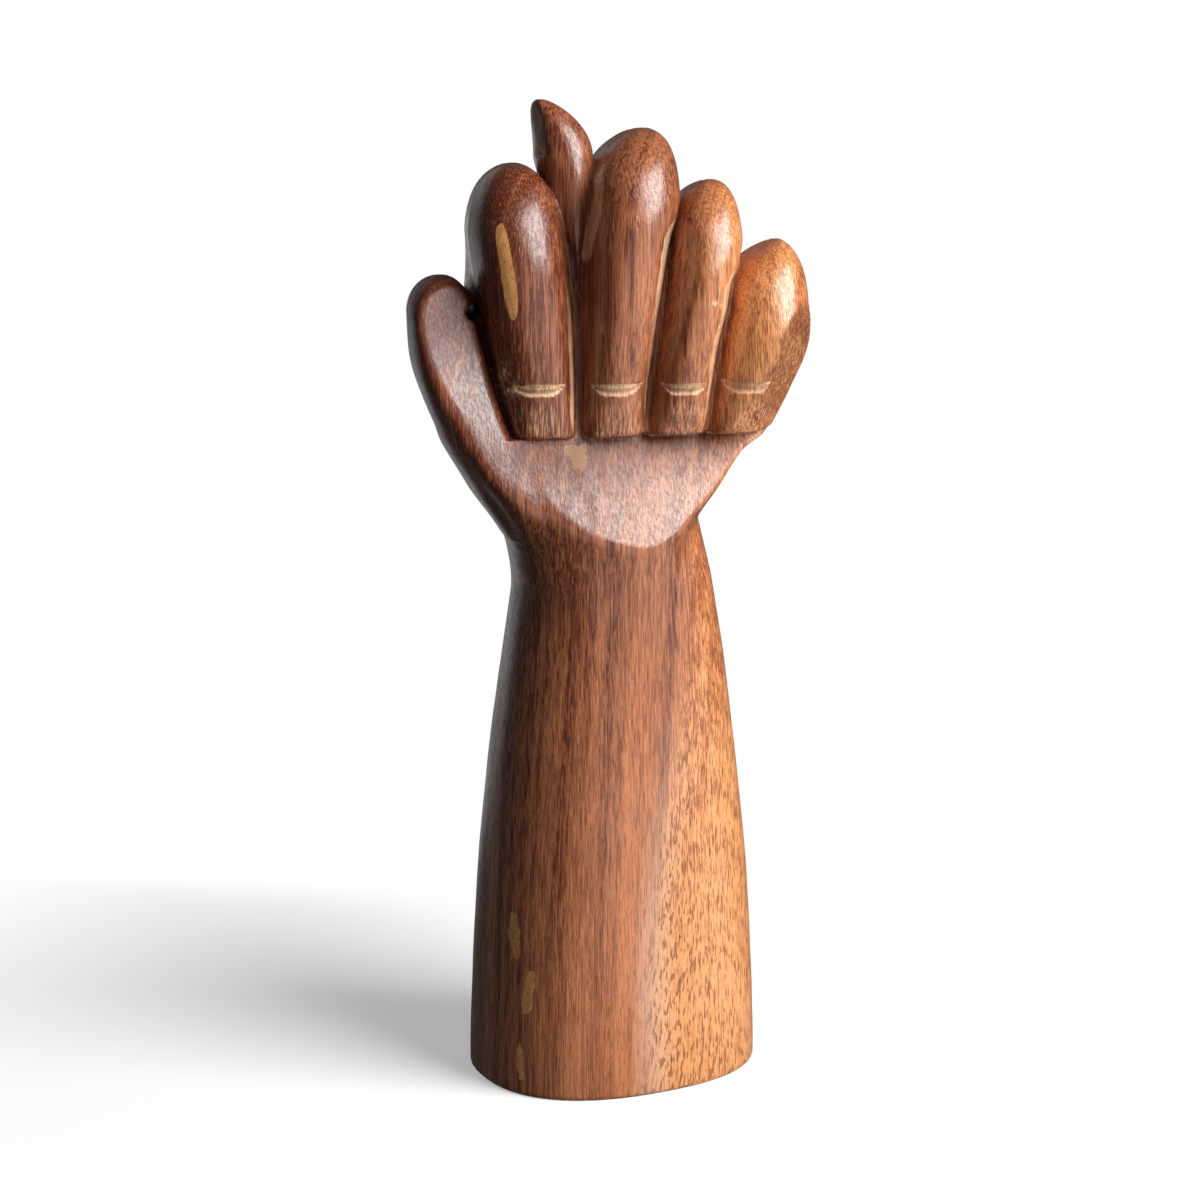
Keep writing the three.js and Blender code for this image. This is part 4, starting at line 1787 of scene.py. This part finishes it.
        # Lighter forearm fading out towards the wrist as painted shade, and painted light from the floor near
        # the foot.
        tone = tone + arm * (self.arm_share - g.step(z, *self.wrist_shade_fade) * self.arm_share)
        return tone + g.step(z, *self.foot_fade) * self.foot_bounce_light

    def flecks(self, g: Graph, at: Point, drift: Socket) -> Socket:
        """Dark vessels, thicker along the arches of the flame.

        Args:
            g: Graph of the material.
            at: Place in the wood.
            drift: Slow noise that bends the arches.

        Returns:
            1 on a vessel and 0 beside it.
        """
        x, y, z = at
        off = x - self.flame_x
        arch = z + off ** 2.0 * self.arch_bend + drift * self.arch_drift
        arches = g.step(self.arches.at(g, arch, 0.0, self.arch_slice), *self.arch_step)
        pores = self.pores.at(g, off * (1.0 + (z - self.flame_z) / self.flame_fan), y, z)
        pores = pores + (arches - 0.5) * self.arch_share + g.step(z, *self.fleck_rise) * self.fleck_rise_share
        return g.step(pores, *self.fleck_step)

    def build(self) -> bpy.types.Material:
        """Makes the material.

        Returns:
            The material.
        """
        material, g = start_material("wood")
        at = x, y, z = g.place()
        drift, fibre, fine, mottle = (
            grain.at(g, x, y, z) for grain in (self.drift, self.fibre, self.fine, self.mottle))
        # The last mark, dark, is painted shade: darker wood under the fingertips, behind the thumb, in groove
        # floors and on the outer facet, with less wax sheen there.
        hollow, raw, torn, smear, dark = (g.mark(mark) for mark in Mark)
        streaks = g.step(fibre, *self.streak_step)
        flecks = self.flecks(g, at, drift)
        border = self.border_x - g.step(z, *self.border_rise) * self.border_lean
        off = x + (drift - 0.5) * self.border_drift - border
        arm = g.step(z, *self.arm_end)
        side = g.step(off, *self.side_step) * arm
        fist = g.step(x + (drift - 0.5) * self.fist_drift, *self.fist_step) * (1.0 - arm)
        warm = side + fist
        tone = self.tone(g, at, drift, streaks, arm)
        verge = g.step(off, *self.verge_step) * arm * (1.0 - side) * self.verge_share
        # Painted shade on the left side, away from the light.
        heart = g.blend(tone - g.step(x, *self.left_fade) * self.left_shade - verge, self.dark, self.tan)
        light = tone * self.light_gain - self.light_base + fist * self.light_fist
        light = light - g.step(z, *self.light_rise) * self.light_share * side
        colour = g.blend(warm, heart, g.blend(light, self.brown, self.orange))
        # Painted sheen band along the border of the orange side.
        sheen_band = g.step(off, *self.sheen_start) * g.step(off, *self.sheen_end) * g.step(z, *self.sheen_rise)
        sheen_band = sheen_band * (self.sheen_share + g.step(z, *self.sheen_foot) * self.sheen_foot_share)
        # Gold raw wood from the raw mark: scratched nails, the thumb sliver, and groove sides painted lit where
        # they face the light.
        scratches = g.step(fibre + raw * self.raw_gain, *self.scratch_step) * g.step(raw, *self.raw_start)
        bright = g.blend(warm, self.tan, self.orange)
        for share, over in (
            # Painted sheen.
            (sheen_band, self.pale),
            (flecks * (self.fleck_share + side * self.fleck_side + fist * self.fleck_fist), self.vessel),
            (g.step(fine, *self.fine_light) * self.fine_light_share, bright),
            (g.step(fine, *self.fine_dark) * self.fine_dark_share, self.dark),
            # Painted shade from the shade mark, lighter on light fibres.
            (dark * (self.shade_share - streaks * self.shade_streaks), self.dark),
            # Painted shade in hollows.
            (g.step(hollow, *self.hollow_step) * self.hollow_shade, self.dark),
            (scratches * self.scratch_share, self.gold),
            (torn * (self.torn_share + g.step(fine, *self.torn_step) * self.torn_fibres), self.gold),
            (smear * self.smear_share, self.ochre),
        ):
            colour = g.blend(share, colour, over)
        height = fibre * self.fibre_height + fine * self.fine_height + mottle * self.mottle_height
        height = height - flecks * side * self.fleck_height
        rough = self.roughness + (fibre - 0.5) * self.fibre_rough + flecks * self.fleck_rough
        rough = rough + torn * self.torn_rough + dark * self.shade_rough
        glint = g.step(mottle * self.glint_mottle + fine * self.glint_fine, *self.glint_step)
        wax = self.coat * (self.glint_least + glint * self.glint_share) * (1.0 - torn) * (1.0 - dark)
        g.surface({
            "Base Color": colour, "Roughness": rough,
            "Coat Weight": wax, "Coat Roughness": self.coat_roughness,
            "Normal": g.bump(height, self.relief_strength, self.relief)})
        return material


@dataclass(frozen=True)
class FillerFinish:
    """Matt ochre filler with dark specks of wood dust."""

    base: Colour = linear(202, 138, 76)
    pale: Colour = linear(224, 164, 102)
    speck: Colour = linear(104, 62, 32)
    # Colour towards which painted shade darkens the filler.
    shade_colour: Colour = linear(132, 90, 52)
    cloud: Grain = Grain((1.6, 1.6, 4.0), 3.0, 0.6)
    cloud_step: Pair = (0.3, 0.7)
    dust: Grain = Grain((0.5, 0.5, 0.9), 2.0, 0.6)
    speck_step: Pair = (0.56, 0.68)
    speck_share: float = 0.7
    roughness: float = 0.46
    relief: float = 0.0001
    relief_strength: float = 0.5

    def build(self) -> bpy.types.Material:
        """Makes the material.

        Returns:
            The material.
        """
        material, g = start_material("filler")
        x, y, z = g.place()
        dust = self.dust.at(g, x, y, z)
        colour = g.blend(g.step(self.cloud.at(g, x, y, z), *self.cloud_step), self.base, self.pale)
        colour = g.blend(g.step(dust, *self.speck_step) * self.speck_share, colour, self.speck)
        # Painted shade from the shade mark.
        colour = g.blend(g.mark(Mark.SHADE), colour, self.shade_colour)
        g.surface({
            "Base Color": colour, "Roughness": self.roughness,
            "Normal": g.bump(dust, self.relief_strength, self.relief)})
        return material


@dataclass(frozen=True)
class TornFibres:
    """Short wood fibres that stand up along the nail cuts. Sizes are in metres and leans in radians."""

    density: float = 7.0e5
    length: float = 0.0013
    radius: float = 0.00007
    tip: float = 0.00001
    sides: int = 5
    least_lean: Triple = (-0.5, -1.35, 0.0)
    most_lean: Triple = (1.3, 1.35, 6.28)
    scale: Pair = (0.35, 1.0)
    seed: int = 11

    # Named inputs of the node tree and their types.
    INPUTS = (
        ("Geometry", "Geometry"), ("Density", "Float"), ("Length", "Float"), ("Radius", "Float"),
        ("Seed", "Int"), ("Finish", "Material"))

    def tree(self) -> bpy.types.GeometryNodeTree:
        """Node tree that scatters fibres where the wood is torn.

        Returns:
            The tree, which ends in plain mesh with its finish.
        """
        tree = bpy.data.node_groups.new("torn_fibres", "GeometryNodeTree")
        for name, kind in self.INPUTS:
            tree.interface.new_socket(name, in_out="INPUT", socket_type="NodeSocket" + kind)
        tree.interface.new_socket("Geometry", in_out="OUTPUT", socket_type="NodeSocketGeometry")
        g = Graph(tree)
        entry = g.node("NodeGroupInput", {}, {})
        skin, density, length, radius, seed, finish = (g.out(entry, name) for name, _ in self.INPUTS)
        torn = g.node("GeometryNodeInputNamedAttribute", {"data_type": "FLOAT"}, {"Name": Mark.TORN.value})
        scatter = g.node("GeometryNodeDistributePointsOnFaces", {}, {
            "Mesh": skin, "Density": g.out(torn, "Attribute") * density, "Seed": seed})
        fibre = g.node("GeometryNodeMeshCone", {}, {
            "Vertices": self.sides, "Radius Top": self.tip, "Radius Bottom": radius, "Depth": length})
        lean = g.node("FunctionNodeRandomValue", {"data_type": "FLOAT_VECTOR"}, {
            "Min": self.least_lean, "Max": self.most_lean, "Seed": seed})
        size = g.node("FunctionNodeRandomValue", {}, {
            "Min_001": self.scale[0], "Max_001": self.scale[1], "Seed": seed})
        euler = g.node("FunctionNodeEulerToRotation", {}, {"Euler": g.out(lean, "Value")})
        turn = g.node("FunctionNodeRotateRotation", {"rotation_space": "LOCAL"}, {
            "Rotation": g.out(scatter, "Rotation"), "Rotate By": g.out(euler, "Rotation")})
        spread = g.node("GeometryNodeInstanceOnPoints", {}, {
            "Points": g.out(scatter, "Points"), "Instance": g.out(fibre, "Mesh"),
            "Rotation": g.out(turn, "Rotation"), "Scale": g.out(size, "Value_001")})
        both = g.node("GeometryNodeJoinGeometry", {}, {"Geometry": g.out(spread, "Instances")})
        tree.links.new(skin.output, both.inputs["Geometry"])
        last = g.out(both, "Geometry")
        for kind, sockets in (
            ("GeometryNodeSetShadeSmooth", {}),
            ("GeometryNodeRealizeInstances", {}),
            ("GeometryNodeSetMaterial", {"Material": finish}),
        ):
            last = g.out(g.node(kind, {}, {"Geometry": last, **sockets}), "Geometry")
        g.node("NodeGroupOutput", {}, {"Geometry": last})
        return tree

    def dress(
            self, finger: bpy.types.Object, tree: bpy.types.GeometryNodeTree,
            finish: bpy.types.Material) -> None:
        """Adds the fibres to a finger as plain mesh.

        Args:
            finger: Finger with its torn wood marked.
            tree: Node tree of the fibres.
            finish: Material of the finger.
        """
        modifier = finger.modifiers.new("fibres", "NODES")
        modifier.node_group = tree
        values = {
            "Density": self.density, "Length": self.length, "Radius": self.radius, "Seed": self.seed,
            "Finish": finish}
        for item in tree.interface.items_tree:
            if item.in_out == "INPUT" and item.name in values:
                modifier[item.identifier] = values[item.name]
        finger.data = applied(finger, modifier)


@dataclass
class Figa:
    """The carving: wooden pieces and filler repairs, each standing for its node."""

    carving: Carving = field(default_factory=Carving)
    wear: Wear = Wear()
    fibres: TornFibres = TornFibres()
    pieces: dict[str, bpy.types.Object] = field(default_factory=dict)

    def build(self) -> None:
        """Shapes the carving, parts it and fills its cracks."""
        self.carving.shape()
        self.pieces = self.carving.part()
        for repair in REPAIRS:
            repair.build(self.pieces)

    def soften(self, mesh: bpy.types.Mesh) -> None:
        """Keeps the carved skin smooth up to the sharp edge of each cut face.

        Args:
            mesh: Mesh of a piece, with the second material slot on its cut faces.
        """
        mesh.shade_smooth()
        is_cut = numbers_of(mesh.polygons, "material_index")
        per_loop = np.repeat(is_cut, numbers_of(mesh.polygons, "loop_total"))
        edges = numbers_of(mesh.loops, "edge_index")
        low = np.ones(len(mesh.edges), dtype=np.int32)
        high = np.zeros(len(mesh.edges), dtype=np.int32)
        np.minimum.at(low, edges, per_loop)
        np.maximum.at(high, edges, per_loop)
        sharp = mesh.attributes.new("sharp_edge", "BOOLEAN", "EDGE")
        sharp.data.foreach_set("value", high != low)
        mesh.polygons.foreach_set("material_index", np.zeros(len(is_cut), dtype=np.int32))

    def dress(self, finishes: dict[Slot, bpy.types.Material]) -> None:
        """Gives every piece its marks, finish and place in the frame.

        Args:
            finishes: Material of each slot.
        """
        tree = self.fibres.tree()
        fills = {repair.node for repair in REPAIRS}
        for name, piece in self.pieces.items():
            mesh = piece.data
            self.soften(mesh)
            slot = Slot.FILLER if name in fills else Slot.WOOD
            mesh.materials.clear()
            mesh.materials.append(finishes[slot])
            if slot is Slot.WOOD:
                for mark, values in self.wear.marks(self.carving, mesh, name != "forearm").items():
                    paint(mesh, mark, values)
            if name in FINGERS:
                self.fibres.dress(piece, tree, finishes[slot])
            piece.name = name + "_look"
            piece.data.name = piece.name
            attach(piece, "root")
            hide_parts(name)


@dataclass(frozen=True)
class Softbox:
    """Oblong area light that faces a point.

    Args:
        name: Name of the light.
        place: Where it hangs, in metres.
        size: Width and height.
        power: Power in watts.
        aim: Point that it faces.
    """

    name: str
    place: Triple
    size: Pair
    power: float
    aim: Triple = (0.0, 0.0, 0.15)

    def build(self) -> None:
        """Hangs the light."""
        lamp = bpy.data.lights.new(self.name, "AREA")
        lamp.shape = "RECTANGLE"
        lamp.size, lamp.size_y = self.size
        lamp.energy = self.power
        made = bpy.data.objects.new(self.name, lamp)
        made.location = self.place
        made.rotation_euler = (Vector(self.place) - Vector(self.aim)).to_track_quat("Z", "Y").to_euler()
        bpy.context.scene.collection.objects.link(made)


@dataclass(frozen=True)
class Border:
    """Soft straight border on the floor, between two weighted sums of x and y in millimetres."""

    across: float
    along: float
    start: float
    end: float

    def at(self, g: Graph, x: Socket, y: Socket) -> Socket:
        """0 on the near side and 1 on the far side."""
        return g.step(x * self.across + y * self.along, self.start, self.end)


@dataclass(frozen=True)
class Studio:
    """White floor, soft lights and the camera.

    The floor has three looks: white with a shadow to the camera, grey that lights the object, and patches of
    white that its sheen shows.
    """

    floor_size: float = 12.0
    floor_tone: float = 0.78
    floor_glow: float = 0.37
    floor_bounce: float = 0.2
    floor_bright: float = 0.9
    floor_gloss: float = 0.06
    far: Pair = (110.0, 330.0)
    clear: tuple[Border, ...] = (Border(0.81, -0.59, 0.0, 60.0), Border(0.5, 1.0, 110.0, 190.0))
    bright_side: Border = Border(1.0, 1.0, -80.0, 260.0)
    sheen_behind: tuple[Border, ...] = (Border(0.8, 1.0, 0.0, 250.0), Border(1.0, 0.0, 60.0, -60.0))
    behind_share: float = 0.35
    sheen_front: tuple[Border, ...] = (Border(1.0, -0.2, 0.0, 160.0), Border(0.0, 1.0, 60.0, -60.0))
    sheen_beside: tuple[Border, ...] = (
        Border(1.4, 1.0, -40.0, 60.0), Border(0.55, 1.0, 40.0, -60.0), Border(1.0, 0.0, 40.0, 120.0))
    sky: float = 0.08
    camera_place: Triple = (-0.12526, -0.89124, 0.34)
    camera_pitch: float = 12.05
    camera_turn: float = -8.0
    lens: float = 89.73
    shift: float = -0.01
    lights: tuple[Softbox, ...] = (
        Softbox("key", (1.008, -0.821, 0.96), (1.1, 1.15), 40.0),
        Softbox("rim", (-0.55, 1.2, 0.5), (0.9, 1.0), 0.7),
    )

    def build(self) -> None:
        """Sets out floor, light and camera."""
        half = self.floor_size / 2 / MM
        corners = [(-half, -half, 0.0), (half, -half, 0.0), (half, half, 0.0), (-half, half, 0.0)]
        floor = mesh_of("floor", np.array(corners), [range(len(corners))])
        floor.materials.append(self.build_paper())
        place(floor)
        for light in self.lights:
            light.build()
        self.build_sky()
        self.build_camera()

    def build_paper(self) -> bpy.types.Material:
        """Material of the floor, with its three looks.

        Returns:
            The material.
        """
        paper, g = start_material("floor")
        x, y, _ = g.place()
        away = g.step((x * x + y * y) ** 0.5, *self.far)
        for border in self.clear:
            away = away + border.at(g, x, y)
        shadowed = g.node("ShaderNodeAddShader", {}, {
            "Shader": g.matt(self.floor_tone), "Shader_001": g.glow(self.floor_glow)})
        white = g.glow(1.0)
        seen = g.either(away, g.out(shadowed, "Shader"), white)
        bounce = g.either(self.bright_side.at(g, x, y), g.matt(self.floor_bounce), g.matt(self.floor_bright))
        behind, front, beside = (
            math.prod((border.at(g, x, y) for border in borders[1:]), start=borders[0].at(g, x, y))
            for borders in (self.sheen_behind, self.sheen_front, self.sheen_beside))
        mirrored = g.either(behind * self.behind_share + front + beside, g.glow(self.floor_gloss), white)
        ray = g.node("ShaderNodeLightPath", {}, {})
        unseen = g.either(g.out(ray, "Is Glossy Ray"), bounce, mirrored)
        both = g.either(g.out(ray, "Is Camera Ray"), unseen, seen)
        g.node("ShaderNodeOutputMaterial", {}, {"Surface": both})
        return paper

    def build_sky(self) -> None:
        """White for the camera and a softer light for everything else."""
        world = bpy.data.worlds.new("sky")
        world.use_nodes = True
        bpy.context.scene.world = world
        g = Graph(world.node_tree)
        lit, seen = (
            g.out(g.node("ShaderNodeBackground", {}, {"Color": WHITE, "Strength": strength}), "Background")
            for strength in (self.sky, 1.0))
        ray = g.node("ShaderNodeLightPath", {}, {})
        both = g.either(g.out(ray, "Is Camera Ray"), lit, seen)
        g.node("ShaderNodeOutputWorld", {}, {"Surface": both})

    def build_camera(self) -> None:
        """Places the camera of the photograph."""
        data = bpy.data.cameras.new("camera")
        data.lens = self.lens
        data.shift_x = self.shift
        camera = bpy.data.objects.new("camera", data)
        camera.location = self.camera_place
        camera.rotation_euler = (math.radians(90.0 - self.camera_pitch), 0.0, math.radians(self.camera_turn))
        bpy.context.scene.collection.objects.link(camera)
        bpy.context.scene.camera = camera


def main() -> None:
    """Builds the carving and its studio."""
    logging.basicConfig(level=logging.INFO)
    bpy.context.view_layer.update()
    bpy.context.scene.view_settings.view_transform = "Standard"
    figa = Figa()
    figa.build()
    figa.dress({Slot.WOOD: WoodFinish().build(), Slot.FILLER: FillerFinish().build()})
    for name, piece in figa.pieces.items():
        LOG.info("%s: %d triangles", name, sum(len(face.vertices) - 2 for face in piece.data.polygons))
    Studio().build()


if __name__ == "__main__":
    main()
